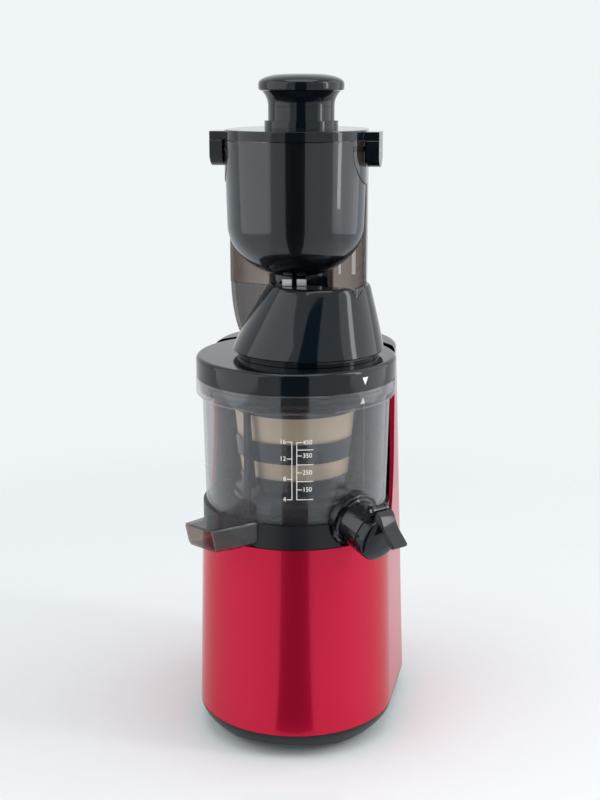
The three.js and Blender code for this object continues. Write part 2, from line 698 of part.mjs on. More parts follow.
function addGearbox(root, idler, output) {
  const clear = caseClear + firstModule;
  const rounds = [
    [0, 0, (secondModule * outputGearTeeth) / 2 + clear],
    [idlerX, idlerY, (firstModule * firstGearTeeth) / 2 + clear],
    [0, rotorOffset, (firstModule * firstPinionTeeth) / 2 + clear + caseWall],
  ];
  const outline = (grow, bottom, top) =>
    join(...rounds.map(([x, y, radius]) => rod(radius + grow, bottom, top, smallSteps).translate(x, y, 0)));
  const caseBody = cut(outline(caseWall, caseFloorZ, caseTopZ), outline(0, caseFloorZ + caseWall, caseTopZ + overrun));
  const shaftSeat = rod(shaftRadius + caseWall, caseFloorZ, firstLevelZ - runGap);
  piece("gearbox_case", cut(
    join(caseBody, shaftSeat),
    rod(boreRadius(shaftRadius), caseFloorZ + caseWall / 2, caseTopZ),
    rod(rotorShaftRadius + 2 * runGap, caseFloorZ - overrun, caseTopZ).translate(0, rotorOffset, 0),
    rod(idlerPinRadius + seatGap, caseFloorZ + caseWall / 2, caseTopZ).translate(idlerX, idlerY, 0),
  ), "satin", root);

  const coverZ = caseTopZ + seatGap;
  const hubTopZ = coverZ + caseWall + bearingHeight;
  const posts = [[-1, 1], [1, -1], [-1, -1]].map(([x, y]) =>
    rod(caseWall * 1.5, coverZ, deckZ, tinySteps).translate(x * shaftRadius * 4, y * shaftRadius * 4, 0));
  piece("gearbox_cover", cut(
    join(outline(caseWall, coverZ, coverZ + caseWall), rod(outputBearingRadius + caseWall, coverZ, hubTopZ), ...posts),
    rod(outputBearingRadius + seatGap, coverZ + caseWall, hubTopZ + overrun),
    rod(shaftRadius + 2 * runGap, coverZ - overrun, hubTopZ),
    rod(idlerPinRadius + seatGap, coverZ - overrun, coverZ + caseWall / 2).translate(idlerX, idlerY, 0),
  ), "satin", root);
  piece("output_bearing", tube(outputBearingRadius, boreRadius(shaftRadius),
    coverZ + caseWall + seatGap, hubTopZ, smallSteps), "steel", root);
  piece("idler_shaft", rod(idlerPinRadius, caseFloorZ + caseWall / 2 + seatGap, coverZ + caseWall / 2 - seatGap),
    "steel", group(root, idlerX, idlerY));
  piece("shaft_seal", tube(sealRadius, boreRadius(shaftRadius), deckZ + deckPlate - sealHeight + seatGap,
    deckZ + deckPlate, smallSteps), "rubber", root);

  const idlerSpot = group(idler, idlerX, idlerY);
  const toRotor = Math.atan2(rotorOffset - idlerY, -idlerX);
  const toOutput = Math.atan2(-idlerY, -idlerX);
  const gear = raise(gearOutline({ module: firstModule, teeth: firstGearTeeth,
    phase: toRotor + (2 * QUARTER) / firstGearTeeth }), firstLevelZ, firstLevelZ + gearWidth);
  const pinion = raise(gearOutline({ module: secondModule, teeth: secondPinionTeeth, phase: toOutput, points: 3 }),
    firstLevelZ + gearWidth / 2, secondLevelZ + gearWidth);
  piece("intermediate_gear", cut(join(gear, pinion),
    rod(boreRadius(idlerPinRadius), firstLevelZ - overrun, caseTopZ)), "nylon", idlerSpot);

  const outputGear = raise(gearOutline({ module: secondModule, teeth: outputGearTeeth,
    phase: toOutput + 2 * QUARTER + (2 * QUARTER) / outputGearTeeth }), secondLevelZ, secondLevelZ + gearWidth);
  piece("output_gear", cut(
    join(outputGear, rod(outputHubRadius, firstLevelZ, secondLevelZ + gearWidth)),
    rod(shaftRadius + seatGap, firstLevelZ - overrun, caseTopZ),
  ), "nylon", output);
  piece("drive_shaft", join(
    rod(shaftRadius, caseFloorZ + caseWall / 2 + seatGap, hexStartZ),
    rod(hexFlats / Math.sqrt(3), hexStartZ - overrun, hexTopZ, 6),
  ), "steel", output);
}

function addElectrics(root) {
  const y = rotorOffset + statorRadius + gearLevelGap * 3;
  const trayTop = footHeight + trayWall + seatGap;
  piece("control_board", block(-boardHalfWidth, boardHalfWidth, y, y + boardThickness, trayTop,
    trayTop + boardHeight), "board", root);
  piece("run_capacitor", rod(capacitorRadius, trayTop, trayTop + capacitorHeight),
    "steel", group(root, -boardHalfWidth + capacitorRadius, y + boardThickness + capacitorRadius + seatGap));
}

const floorTopZ = drumFloorZ + drumFloor;
const brushGearZ = floorTopZ + runGap * 2;
const brushGearTopZ = brushGearZ + brushGearWidth;
const strainerBaseZ = brushGearTopZ + gearLevelGap;
const planetDistance = (brushModule * (sunTeeth + planetTeeth)) / 2;

// The drum's outside wall, with its foot and rim, grown by a gap.
function drumOutside(grow = 0) {
  return revolve([[0, deckZ - flangeRadius], [drumRadiusLow + grow, deckZ - flangeRadius],
    [drumRadiusLow + grow, collarTopZ],
    [drumRadiusHigh + grow, rimZ], [0, rimZ]]);
}

// Axes of the spout: local Z runs out along the tube, local Y points up and away from the bench.
function spoutFrame() {
  const turn = rad(spoutAzimuth);
  const fall = rad(spoutFall);
  const out = new THREE.Vector3(Math.sin(turn) * Math.cos(fall), -Math.cos(turn) * Math.cos(fall), -Math.sin(fall));
  const side = new THREE.Vector3(Math.cos(turn), Math.sin(turn), 0);
  return new THREE.Matrix4()
    .makeBasis(side, new THREE.Vector3().crossVectors(out, side), out)
    .setPosition(drumRadiusLow * Math.sin(turn), -drumRadiusLow * Math.cos(turn), spoutZ);
}

// A rounded rectangle across the pulp duct, at a distance y in front of the axis.
function ductRing(y, x0, x1, z0, z1, round, slope) {
  const ring = [];
  for (const [cx, cz, start] of [[x1, z0, -1], [x1, z1, 0], [x0, z1, 1], [x0, z0, 2]]) {
    for (let i = 0; i <= 3; i += 1) {
      const angle = (start + i / 3) * QUARTER;
      const x = cx + (cx === x1 ? -round : round) + round * Math.cos(angle);
      const z = cz + (cz === z1 ? -round : round) + round * Math.sin(angle);
      ring.push([x, y - slope * (1 - (z - pulpBottomZ) / pulpHeight), z]);
    }
  }
  return ring;
}

function duct(inset, near, far) {
  const half = pulpWidth / 2 - inset;
  const bottom = pulpBottomZ + inset;
  const top = pulpBottomZ + pulpHeight - inset;
  const round = pulpRound - inset / 2;
  const flare = (y) => pulpFlare * THREE.MathUtils.clamp((pulpEnd - y) / (pulpEnd - drumRadiusLow), 0, 1);
  const ring = (y, slope) => ductRing(-y, -half, half + flare(y), bottom, top, round, slope);
  return loft([ring(near, 0), ring((near + far) / 2, 0), ring(far, pulpEndSlope)]);
}

function addDrum(bowl) {
  const outer = [[drumRadiusLow - drumFoot, drumFootZ], [drumRadiusLow, drumFootZ + drumFoot],
    [drumRadiusLow, collarTopZ], [drumRadiusHigh, rimZ - rimStep], [rimRadius, rimZ], [rimRadius, rimTopZ]];
  const inner = [[rimInner, rimTopZ], [rimInner, rimZ + rimStep], [drumRadiusHigh - drumWall, rimZ + rimStep],
    [drumRadiusLow - drumWall, floorTopZ], [bossRadius, floorTopZ], [bossRadius, bossTopZ],
    [bossRadius - drumWall, bossTopZ], [bossRadius - drumWall, drumFloorZ],
    [drumRadiusLow - drumFoot - drumWall, drumFloorZ], [drumRadiusLow - drumFoot - drumWall, drumFootZ]];
  const tracks = bayonetAzimuths.flatMap((middle) => [
    sector(rimRadius - overrun / 2, rimRadius + bayonetStand, rimTopZ - bayonetWidth * 2, rimTopZ - bayonetWidth,
      middle - bayonetHalfTurn, middle + bayonetHalfTurn),
    sector(rimRadius - overrun / 2, rimRadius + bayonetStand, rimTopZ - bayonetWidth - bayonetHook,
      rimTopZ - bayonetWidth, middle - bayonetHalfTurn, middle - bayonetHalfTurn * hookShare),
  ]);
  const pins = [-1, 1].flatMap((side) => [
    rod(planetPinRadius, floorTopZ - drumFloor / 2, strainerBaseZ - seatGap).translate(side * planetDistance, 0, 0),
    rod(planetPinRadius / 2, floorTopZ, strainerBaseZ + strainerPlate - seatGap, tinySteps)
      .translate(side * planetDistance, 0, 0),
  ]);
  const juiceHole = rod(spoutRadius - spoutWall, -drumWall * 4, drumWall * 4).applyMatrix4(spoutFrame());
  const pulpHole = duct(pulpWall, drumRadiusLow - drumWall * 3, drumRadiusLow + drumWall * 3)
    .rotateZ(rad(pulpAzimuth));
  const aboveFloor = tube(rimRadius, drumRadiusLow - drumWall * 4, floorTopZ, rimZ);
  const plugHole = rod(plugRadius, drumFloorZ - overrun, floorTopZ + overrun)
    .translate(0, -plugDistance, 0).rotateZ(rad(pulpAzimuth));
  piece("juice_bowl", cut(join(revolve([...outer, ...inner]), ...tracks, ...pins), common(juiceHole, aboveFloor),
    common(pulpHole, aboveFloor), plugHole), "smoke", bowl);
  piece("pulp_plug", join(
    rod(plugRadius - seatGap, drumFloorZ + seatGap, floorTopZ),
    rod(plugRadius + plugLip, drumFloorZ - plugLip, drumFloorZ - seatGap),
    rod(plugRadius - seatGap, drumFloorZ - seatGap * 2, drumFloorZ + seatGap * 2),
  ).translate(0, -plugDistance, 0).rotateZ(rad(pulpAzimuth)), "rubber", bowl);
  piece("bowl_shaft_seal", tube(bossRadius - drumWall - seatGap, boreRadius(shaftRadius), drumFloorZ,
    hexStartZ - runGap, smallSteps), "rubber", bowl);

  const pulpSpan = duct(0, drumRadiusLow - drumWall, pulpEnd);
  const pulpBore = duct(pulpWall, drumRadiusLow - drumWall * 2, pulpEnd + overrun * 2);
  piece("pulp_chute", cut(pulpSpan.rotateZ(rad(pulpAzimuth)), pulpBore.rotateZ(rad(pulpAzimuth)),
    drumOutside(seatGap)), "smoke", bowl);
}

// Part of a ring between two azimuths, in degrees from the front.
function sector(inner, outer, bottom, top, from, to, steps = 6) {
  const arc = (radius) => Array.from({ length: steps + 1 }, (_, i) => {
    const angle = rad(lerp(from, to, i / steps));
    return [radius * Math.sin(angle), -radius * Math.cos(angle)];
  });
  return raise([...arc(outer), ...arc(inner).reverse()], bottom, top);
}

function addSpout(bowl, capBody) {
  const frame = spoutFrame();
  const local = (geometry) => geometry.clone().applyMatrix4(frame.clone().invert());
  const place = (parent) => {
    const made = new THREE.Group();
    made.applyMatrix4(frame);
    parent.add(made);
    return made;
  };
  const drumLocal = local(drumOutside(seatGap));
  const ears = [-1, 1].map((side) => join(
    block(Math.min(side * earGap, side * (earGap + capWall)), Math.max(side * earGap, side * (earGap + capWall)),
      spoutRadius - spoutWall, capPinY, spoutReach - capEarRadius, spoutReach),
    rod(capEarRadius, 0, capWall, tinySteps).rotateY(QUARTER)
      .translate(side > 0 ? earGap : -earGap - capWall, capPinY, spoutReach),
  ));
  const pinBore = rod(capPinRadius + seatGap, -pulpWidth, pulpWidth, tinySteps).rotateY(QUARTER)
    .translate(0, capPinY, spoutReach);
  const spout = cut(
    join(
      rod(spoutRadius, -drumWall, spoutReach, smallSteps * 1.5),
      revolve([[0, -drumWall], [flangeRadius, -drumWall], [flangeRadius, flangeDepth - 1], [flangeRadius - 1,
        flangeDepth], [0, flangeDepth]], smallSteps * 1.5),
      ...ears,
    ),
    rod(spoutRadius - spoutWall, -overrun * 4, spoutReach + overrun),
    drumLocal, pinBore,
  );
  piece("juice_spout", spout, "darkSmoke", place(bowl));
  piece("cap_pin", rod(capPinRadius, -earGap - capWall, earGap + capWall, tinySteps).rotateY(QUARTER)
    .translate(0, capPinY, spoutReach), "steel", place(bowl));

  const capFace = spoutReach + seatGap;
  const dome = revolve([[0, capFace], [spoutRadius - seatGap, capFace], [spoutRadius, capFace + seatGap],
    ...domeShares.map(([out, left]) => [spoutRadius * out, capFace + capDepth - capDome * left])],
  smallSteps * 1.5);
  const plug = rod(plugCoreRadius, capFace - plugDepth, capFace + overrun);
  const knuckleHalf = earGap - runGap;
  const knuckle = cut(join(
    rod(capEarRadius - runGap, -knuckleHalf, knuckleHalf, tinySteps).rotateY(QUARTER)
      .translate(0, capPinY, spoutReach),
    block(-knuckleHalf, knuckleHalf, spoutRadius * knuckleShare, capPinY, capFace, capFace + gripStand + overrun),
  ), pinBore);
  const grip = raise(
    gripShares.map(([along, out]) => [capFace + gripStand + gripLength * along, spoutRadius * out]),
    -gripWidth / 2, gripWidth / 2,
  ).applyMatrix4(new THREE.Matrix4().makeBasis(
    new THREE.Vector3(0, 0, 1), new THREE.Vector3(0, 1, 0), new THREE.Vector3(-1, 0, 0)));
  piece("juice_cap", join(dome, plug, knuckle, grip), "gloss", place(capBody));
  piece("cap_seal", tube(spoutRadius - spoutWall - runGap, plugCoreRadius + seatGap, capFace - plugDepth,
    capFace - seatGap, smallSteps), "rubber", place(capBody));
}

// The strainer cone's outer mesh radius at a height.
const meshRadius = (z) => lerp(meshRadiusLow, meshRadiusHigh, (z - meshBottomZ) / (meshTopZ - meshBottomZ));

function addStrainer(bowl) {
  const baseTopZ = strainerBaseZ + strainerPlate;
  const frameOut = (z) => [meshRadius(z) + seatGap + strainerWall, z];
  const frameIn = (z) => [meshRadius(z) + seatGap, z];
  const body = revolve([
    [baseHoleRadius, strainerBaseZ], [strainerBaseRadius, strainerBaseZ], [strainerBaseRadius, strainerBaseTopZ],
    frameOut(meshBottomZ), frameOut(meshTopZ), [strainerTopRadius, meshTopZ], [strainerTopRadius, rimZ],
    [strainerTopRadius - strainerWall, rimZ], [strainerTopRadius - strainerWall, meshTopZ + seatGap],
    frameIn(meshTopZ + seatGap), frameIn(meshBottomZ - seatGap),
    [meshRadiusLow - strainerWall, meshBottomZ - seatGap], [meshRadiusLow - strainerWall, baseTopZ],
    [baseHoleRadius, baseTopZ],
  ], innerSteps);
  const far = strainerTopRadius + overrun;
  const ribs = strainerRibs.map((azimuth) =>
    block(-ribWidth / 2, ribWidth / 2, -far, 0, meshBottomZ, meshTopZ).rotateZ(rad(azimuth)));
  const window = (bottom, top) => cut(tube(far, meshRadiusLow - strainerWall * 2, bottom, top, smallSteps), ...ribs);
  const nubHoles = [-1, 1].map((side) => rod(planetPinRadius / 2 + seatGap, strainerBaseZ - overrun,
    baseTopZ + overrun, tinySteps).translate(side * planetDistance, 0, 0));
  const pulpHole = rod(plugRadius, strainerBaseZ - overrun, baseTopZ + overrun)
    .translate(0, -plugDistance, 0).rotateZ(rad(pulpAzimuth));
  piece("strainer_frame", cut(body, window(bandEdges[0], bandEdges[1]), window(bandEdges[2], bandEdges[3]),
    ...nubHoles, pulpHole), "darkSmoke", bowl);
  piece("strainer_mesh", revolve([
    [meshRadius(meshBottomZ) - meshThickness, meshBottomZ], [meshRadius(meshBottomZ), meshBottomZ],
    [meshRadius(meshTopZ), meshTopZ], [meshRadius(meshTopZ) - meshThickness, meshTopZ],
  ], innerSteps), "mesh", bowl);
}

function addBrush(planets, brush) {
  for (const [name, side, spin] of [["left", -1, 0], ["right", 1, 1]]) {
    const spot = group(planets[name], side * planetDistance, 0);
    const teeth = gearOutline({ module: brushModule, teeth: planetTeeth,
      phase: (spin ? 2 * QUARTER : 0) + (2 * QUARTER) / planetTeeth });
    piece(`brush_gear_${name}`, cut(raise(teeth, brushGearZ, brushGearTopZ),
      rod(planetPinRadius + seatGap, brushGearZ - overrun, brushGearTopZ + overrun)), "nylon", spot);
  }
  const ringHole = raise(gearOutline({ module: brushModule, teeth: ringTeeth, phase: (2 * QUARTER) / ringTeeth,
    rise: 1, fall: 0.8, play: -gearBacklash }), brushGearZ - overrun, brushGearTopZ + overrun);
  const base = cut(rod(brushOuterRadius, brushGearZ, brushGearTopZ, innerSteps), ringHole);
  const wiperGap = seatGap + strainerWall + runGap;
  const bars = brushBars.map((azimuth) => join(
    block(-brushBarWidth / 2, brushBarWidth / 2, -brushOuterRadius, -brushInnerRadius, brushGearZ, brushTopZ),
    wiperPlate(wiperGap),
  ).rotateZ(rad(azimuth)));
  const top = tube(brushOuterRadius, brushInnerRadius, brushTopZ - brushRingHeight, brushTopZ, innerSteps);
  const trimmed = bars.map((bar) => common(bar, rod(brushOuterRadius, brushGearZ, brushTopZ, innerSteps)));
  piece("brush_carrier", join(base, top, ...trimmed), "satin", brush);
}

// One wiper blade, whose free edge follows the strainer's cone.
function wiperPlate(gap) {
  const bottom = meshBottomZ + gap;
  const top = meshTopZ - gap;
  const edge = (z) => -(meshRadius(z) + gap);
  const back = -(brushInnerRadius + runGap);
  return raise([[back, bottom], [edge(bottom), bottom], [edge(top), top], [back, top]], -wiperWidth / 2,
    wiperWidth / 2).applyMatrix4(new THREE.Matrix4().makeBasis(
    new THREE.Vector3(0, 1, 0), new THREE.Vector3(0, 0, 1), new THREE.Vector3(1, 0, 0)));
}

// The pressing screw: a tapering core with two flights whose pitch tightens towards the pulp outlet.
function addAuger(auger) {
  const span = augerTopZ - augerStartZ;
  const corners = [0, 1].flatMap((half) =>
    flightShares.map(([turn, rise]) => [(half + turn) * 2 * QUARTER, rise]));
  const rings = Array.from({ length: augerLevels + 1 }, (_, level) => {
    const share = level / augerLevels;
    const z = augerStartZ + span * share;
    const pitch = lerp(augerPitchLow, augerPitchHigh, share / 2);
    const turn = (4 * QUARTER * span * share) / pitch / 2;
    const core = lerp(augerCoreLow, augerCoreHigh, share);
    const wall = z < meshBottomZ ? meshRadiusLow - strainerWall : meshRadius(Math.min(z, meshTopZ)) - meshThickness;
    const fade = Math.min(1, (1 - share) * augerFade + augerFadeLeastShare);
    const flight = lerp(core, wall - augerGap, fade);
    return corners.map(([angle, rise]) => {
      const radius = lerp(core, flight, rise);
      return [radius * Math.cos(turn + angle), radius * Math.sin(turn + angle), z];
    });
  });
  const screw = loft(rings);
  const neck = rod(baseHoleRadius - runGap * 2, brushGearTopZ, strainerBaseZ + strainerPlate, smallSteps);
  const foot = revolve([[0, strainerBaseZ + strainerPlate - overrun], [baseHoleRadius - runGap * 2, strainerBaseZ
    + strainerPlate - overrun], [baseHoleRadius - runGap * 2, strainerBaseZ + strainerPlate + runGap],
    [augerCoreLow, augerStartZ], [augerCoreLow - overrun, augerStartZ + overrun], [0, augerStartZ + overrun]],
  smallSteps);
  const sun = raise(gearOutline({ module: brushModule, teeth: sunTeeth, phase: 0 }), brushGearZ,
    brushGearTopZ + overrun / 2);
  const top = revolve([[0, augerTopZ - overrun], [augerCoreHigh - overrun, augerTopZ - overrun],
    [augerPinRadius + overrun, augerTopZ + overrun], [augerPinRadius, augerTopZ + overrun], [augerPinRadius,
      augerPinTopZ - 1], [augerPinRadius - 1, augerPinTopZ], [0, augerPinTopZ]], smallSteps);
  const cavity = rod(bossRadius + runGap, brushGearZ - overrun, bossTopZ + runGap, roundSteps);
  const socket = rod(hexFlats / Math.sqrt(3) + seatGap, bossTopZ, hexTopZ + overrun, 6);
  piece("auger", cut(join(screw, neck, foot, sun, top), cavity, socket), "darkSmoke", auger);
}

function addLid(lid) {
  const plateZ = lidTopZ - lidPlate;
  const skirtZ = rimTopZ + seatGap;
  const body = revolve([
    [0, plateZ], [lidCollarRadius - lidSkirt, plateZ], [lidCollarRadius - lidSkirt, rimZ + runGap],
    [lidCollarRadius, rimZ + runGap], [lidCollarRadius, plateZ], [lidInnerRadius - lidSkirt, plateZ],
    [lidInnerRadius - lidSkirt, rimZ + rimStep + sealThickness], [lidInnerRadius, rimZ + rimStep + sealThickness],
    [lidInnerRadius, skirtZ], [lidRadius, skirtZ], [lidRadius, lidTopZ - lidRound],
    [lidRadius - lidRound * (1 - Math.SQRT1_2), lidTopZ - lidRound * (1 - Math.SQRT1_2)],
    [lidRadius - lidRound, lidTopZ], [0, lidTopZ],
  ]);
  const hub = rod(lidHubRadius, hubBottomZ, lidTopZ);
  const bridge = block(-lidHubRadius / 2, lidHubRadius / 2, -lidCollarRadius + lidSkirt, 0, hubBottomZ, lidTopZ);
  const feedHole = rod(feedHoleRadius, plateZ - overrun, lidTopZ + overrun, roundSteps)
    .translate(0, feedHoleOffset, 0);
  piece("drum_lid", cut(join(cut(body, feedHole), hub, bridge),
    rod(bushRadius + seatGap, hubBottomZ - overrun, lidTopZ - lidPlate / 2)), "gloss", lid);
  piece("lid_bush", tube(bushRadius, augerPinRadius + seatGap, hubBottomZ, lidTopZ - lidPlate / 2 - seatGap,
    smallSteps), "nylon", lid);
  piece("lid_seal", tube(lidInnerRadius - seatGap, lidInnerRadius - lidSkirt, rimZ + rimStep + seatGap,
    rimZ + rimStep + sealThickness - seatGap), "rubber", lid);
}

// The feed chute's plan below the shoulder: it draws in from the hopper's rear circle to its foot on the lid.
function chuteRing(z, inset, steps = innerSteps) {
  const share = THREE.MathUtils.clamp((shoulderZ - z) / (shoulderZ - lidTopZ), 0, 1);
  const ease = share * share;
  return circleRing(chuteFoot.x * ease, lerp(chuteOffset, chuteFoot.y, ease),
    lerp(chuteRadius, chuteFoot.radius, ease) - inset, z, steps);
}

const halfSpace = (y0, y1, z0, z1) => block(-rearOffsetLow * 2, rearOffsetLow * 2, y0, y1, z0, z1);
const pivotRod = (radius, halfLength = rearOffsetLow * 2) =>
  rod(radius, -halfLength, halfLength, smallSteps * 2).rotateY(QUARTER).translate(0, 0, pivotZ);

// Space kept by the chute's sloping front wall, drawn back by an inset.
function chuteFront(inset) {
  const far = rearOffsetLow * 2;
  const slope = chuteFrontRise / chuteRadius;
  return raise([[-far, slope * far - chuteFrontReach + inset], [far, -slope * far - chuteFrontReach + inset],
    [far, far * 2], [-far, far * 2]], lidTopZ - overrun, shoulderZ + overrun);
}

function coneRings(inset, bottom, top) {
  const heightShares = [0, 0.35, 0.7, 0.9, 1];
  return heightShares.map((share) => {
    const ease = share ** coneCurve;
    return circleRing(lerp(coneBase.x, coneTop.x, ease), lerp(coneBase.y, coneTop.y, ease),
      lerp(coneBase.radius, coneTop.radius, ease) - inset, lerp(bottom, top, share));
  });
}

function addHopper(lid, gate) {
  const footZ = lidTopZ + seatGap;
  const rearY = rearOffsetLow * 2;
  const plan = (z, inset) => twoCircleRing(gateRadius - inset, chuteRadius - inset, chuteOffset, z);
  const chuteStack = (inset, bottom, top) =>
    loft(chuteShares.map((share) => chuteRing(lerp(bottom, top, share), inset)));
  const lower = common(chuteStack(0, footZ, shoulderZ), chuteFront(0));
  const lowerVoid = common(chuteStack(hopperWall, footZ - overrun, shoulderZ + overrun), chuteFront(hopperWall));
  const fixedSide = join(halfSpace(gateEdge + 1, rearY, shoulderZ - overrun, hopperZ), pivotRod(plateSplitRadius));
  const upper = common(loft([plan(shoulderZ - overrun / 2, 0), plan(hopperZ, 0)]), fixedSide);
  const upperVoid = loft([plan(shoulderZ - overrun, hopperWall), plan(hopperZ + overrun, hopperWall)]);
  const ears = [-1, 1].map((side) => join(
    common(block(Math.min(side * earStart, side * (earStart + earWidth)), Math.max(side * earStart,
      side * (earStart + earWidth)), -earHalfDepth, earHalfDepth, earBottomZ, hopperZ),
    pivotRod(pivotZ - earBottomZ)),
    block(Math.min(side * (gateRadius - hopperWall), side * (earStart + 1)), Math.max(side * (gateRadius
      - hopperWall), side * (earStart + 1)), gateEdge + 1, earHalfDepth, earBottomZ + overrun, hopperZ),
  ));
  piece("feed_chute", cut(join(cut(join(lower, upper), lowerVoid, upperVoid), ...ears),
    pivotRod(pinRadius + seatGap)), "darkSmoke", lid);
  for (const [name, side] of [["left", -1], ["right", 1]]) {
    piece(`gate_pin_${name}`, rod(pinRadius, 0, earStart + earWidth - armInner, tinySteps).rotateY(QUARTER)
      .translate(side > 0 ? armInner : -earStart - earWidth, 0, pivotZ), "steel", lid);
  }

  const coneOuter = join(
    loft(coneRings(0, lidTopZ + coneFoot, shoulderZ)),
    rod(coneBase.radius - coneUndercut, footZ, lidTopZ + coneFoot + 1, innerSteps)
      .translate(coneBase.x, coneBase.y, 0),
  );
  const coneInner = join(
    loft(coneRings(coneWall, lidTopZ + coneFoot + coneWall, shoulderZ - coneWall)),
    rod(coneBase.radius - coneUndercut - coneWall, footZ - overrun, lidTopZ + coneFoot + coneWall + 1, innerSteps)
      .translate(coneBase.x, coneBase.y, 0),
  );
  const chuteSpace = common(chuteStack(-seatGap, footZ - overrun, shoulderZ + overrun), chuteFront(-seatGap));
  const flankSpace = common(loft([plan(shoulderZ - overrun, -seatGap), plan(shoulderZ + overrun, -seatGap)]),
    halfSpace(gateEdge + 1 - seatGap, rearY, shoulderZ - overrun / 2 - seatGap, hopperZ));
  piece("feed_cone", cut(coneOuter, coneInner, chuteSpace, flankSpace), "gloss", lid);

  const topPlate = loft([plan(hopperZ + seatGap, 0), plan(hopperTopZ - 1, 0), plan(hopperTopZ, 1)]);
  const pusherHole = rod(pusherRadius + runGap, hopperZ - overrun, hopperTopZ + pusherCollarHeight + overrun,
    smallSteps * 2).translate(0, pusherOffset, 0);
  const collar = rod(pusherRadius + runGap + pusherCollarWall, hopperTopZ - 1, hopperTopZ + pusherCollarHeight,
    smallSteps * 2).translate(0, pusherOffset, 0);
  const fixedPlate = join(halfSpace(0, rearY, hopperZ, hopperTopZ + overrun), pivotRod(plateSplitRadius));
  const earTops = [-1, 1].map((side) => block(Math.min(side * (gateRadius - hopperWall), side * (earStart
    + earWidth)), Math.max(side * (gateRadius - hopperWall), side * (earStart + earWidth)), -earHalfDepth,
  earHalfDepth, hopperZ + seatGap, earTopZ));
  piece("hopper_lid", cut(join(common(topPlate, fixedPlate), collar, ...earTops), pusherHole), "gloss", lid);

  const gateFree = pivotRod(boreRadius(plateSplitRadius, smallSteps * 2));
  const bowlRings = (inset) => {
    const rings = [plan(hopperZ - seatGap + (inset ? overrun : 0), inset), plan(gateStraightZ, inset + gateDraft)];
    for (let i = 1; i <= bowlBands; i += 1) {
      const turn = (i / bowlBands) * QUARTER * bowlCloseShare;
      const width = Math.cos(turn);
      rings.push(plan(gateStraightZ, 0).map(([x, y]) => [x * width * (1 - (inset + gateDraft) / gateRadius),
        y * width * (1 - (inset + gateDraft) / gateRadius),
        gateStraightZ - (gateStraightZ - gateBottomZ - inset) * Math.sin(turn)]));
    }
    return rings;
  };
  const pusherPath = rod(pusherRadius + 4 * runGap, gateBottomZ - overrun, hopperZ, smallSteps * 2)
    .translate(0, pusherOffset, 0);
  const bowl = common(cut(loft(bowlRings(0)), loft(bowlRings(hopperWall)), pusherPath),
    halfSpace(-rearY, gateEdge, gateBottomZ - overrun, hopperZ));
  const arms = [-1, 1].map((side) => {
    const [x0, x1] = side > 0 ? [armInner, armInner + armThickness] : [-armInner - armThickness, -armInner];
    const arm = block(0, armThickness, -pivotBossRadius, pivotBossRadius, -armReach, 0)
      .rotateX(rad(-armLean)).translate(x0, 0, pivotZ);
    return cut(common(join(arm, rod(pivotBossRadius, x0, x1).rotateY(QUARTER).translate(0, 0, pivotZ)),
      loft(bowlRings(0))), pivotRod(pinRadius + seatGap));
  });
  piece("flip_gate", join(cut(bowl, gateFree), ...arms), "darkSmoke", gate);
  piece("gate_top", cut(common(topPlate, halfSpace(-rearY, 0, hopperZ, hopperTopZ + overrun)), gateFree),
    "gloss", gate);
  catchSpots.forEach(({ x, y }, i) => {
    const spot = group(gate, x, y);
    piece(`gate_catch_${i ? "right" : "left"}`, block(-catchWidth / 2, catchWidth / 2, -catchDepth / 2,
      catchDepth / 2, shoulderZ + seatGap, shoulderZ + catchHeight), "steel", spot);
  });
}

function addPusher(pusher) {
  const spot = group(pusher, 0, pusherOffset);
  const headZ = pusherTopZ - pusherHeadHeight;
  const neckZ = headZ - pusherNeck;
  const shaftTopZ = neckZ - seatGap;
  piece("pusher_shaft", revolve([
    [0, pusherBottomZ], [pusherRadius - pusherRound, pusherBottomZ], [pusherRadius, pusherBottomZ + pusherRound],
    [pusherRadius, shaftTopZ], [pusherRadius - pusherWall, shaftTopZ], [pusherRadius - pusherWall, pusherBottomZ + pusherWall],
    [0, pusherBottomZ + pusherWall],
  ], smallSteps * 2), "gloss", spot);
  const inner = pusherRadius - pusherWall - seatGap;
  piece("pusher_head", revolve([
    [0, neckZ - headPlug], [inner, neckZ - headPlug], [inner, neckZ],
    ...neckShares.map(([down, out]) => [pusherRadius + pusherNeckFlare * out, headZ - pusherNeck * down]),
    [pusherHeadRadius - pusherRound, headZ],
    ...headShares.map(([up, inward]) => [pusherHeadRadius - headEdge * inward, headZ + pusherHeadHeight * up]),
    [pusherHeadRadius * headCrownShare, pusherTopZ], [0, pusherTopZ],
  ], smallSteps * 2), "gloss", spot);
}

const juicer = new THREE.Group();
const assembly = group(juicer);
const root = group(assembly);
const rotor = group(assembly);
const idler = group(assembly);
const output = group(assembly);
const bowl = group(assembly);
const capBody = group(bowl);
const planets = { left: group(bowl), right: group(bowl) };
const brush = group(bowl);
const auger = group(bowl);
const lid = group(bowl);
const gate = group(lid);
const pusher = group(lid);

addHousing(root);
addSwitchAndInlet(root);
addMotor(root, rotor);
addGearbox(root, idler, output);
addElectrics(root);
addDrum(bowl);
addSpout(bowl, capBody);
addStrainer(bowl);
addBrush(planets, brush);
addAuger(auger);
addLid(lid);
addHopper(lid, gate);
addPusher(pusher);

// The middle of the footprint becomes the origin.
const bounds = new THREE.Box3().setFromObject(juicer, true);
assembly.position.set(-(bounds.min.x + bounds.max.x) / 2, -(bounds.min.y + bounds.max.y) / 2, -bounds.min.z);

export default juicer;
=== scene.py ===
"""Dresses the cold press juicer: smooth shells, clear drum, finishes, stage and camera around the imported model.

Metres, +Z up, front towards -Y. Every place is measured from the drive shaft's axis, which the frame gives.
"""
import math

import bmesh
import bpy
from mathutils import Matrix, Vector


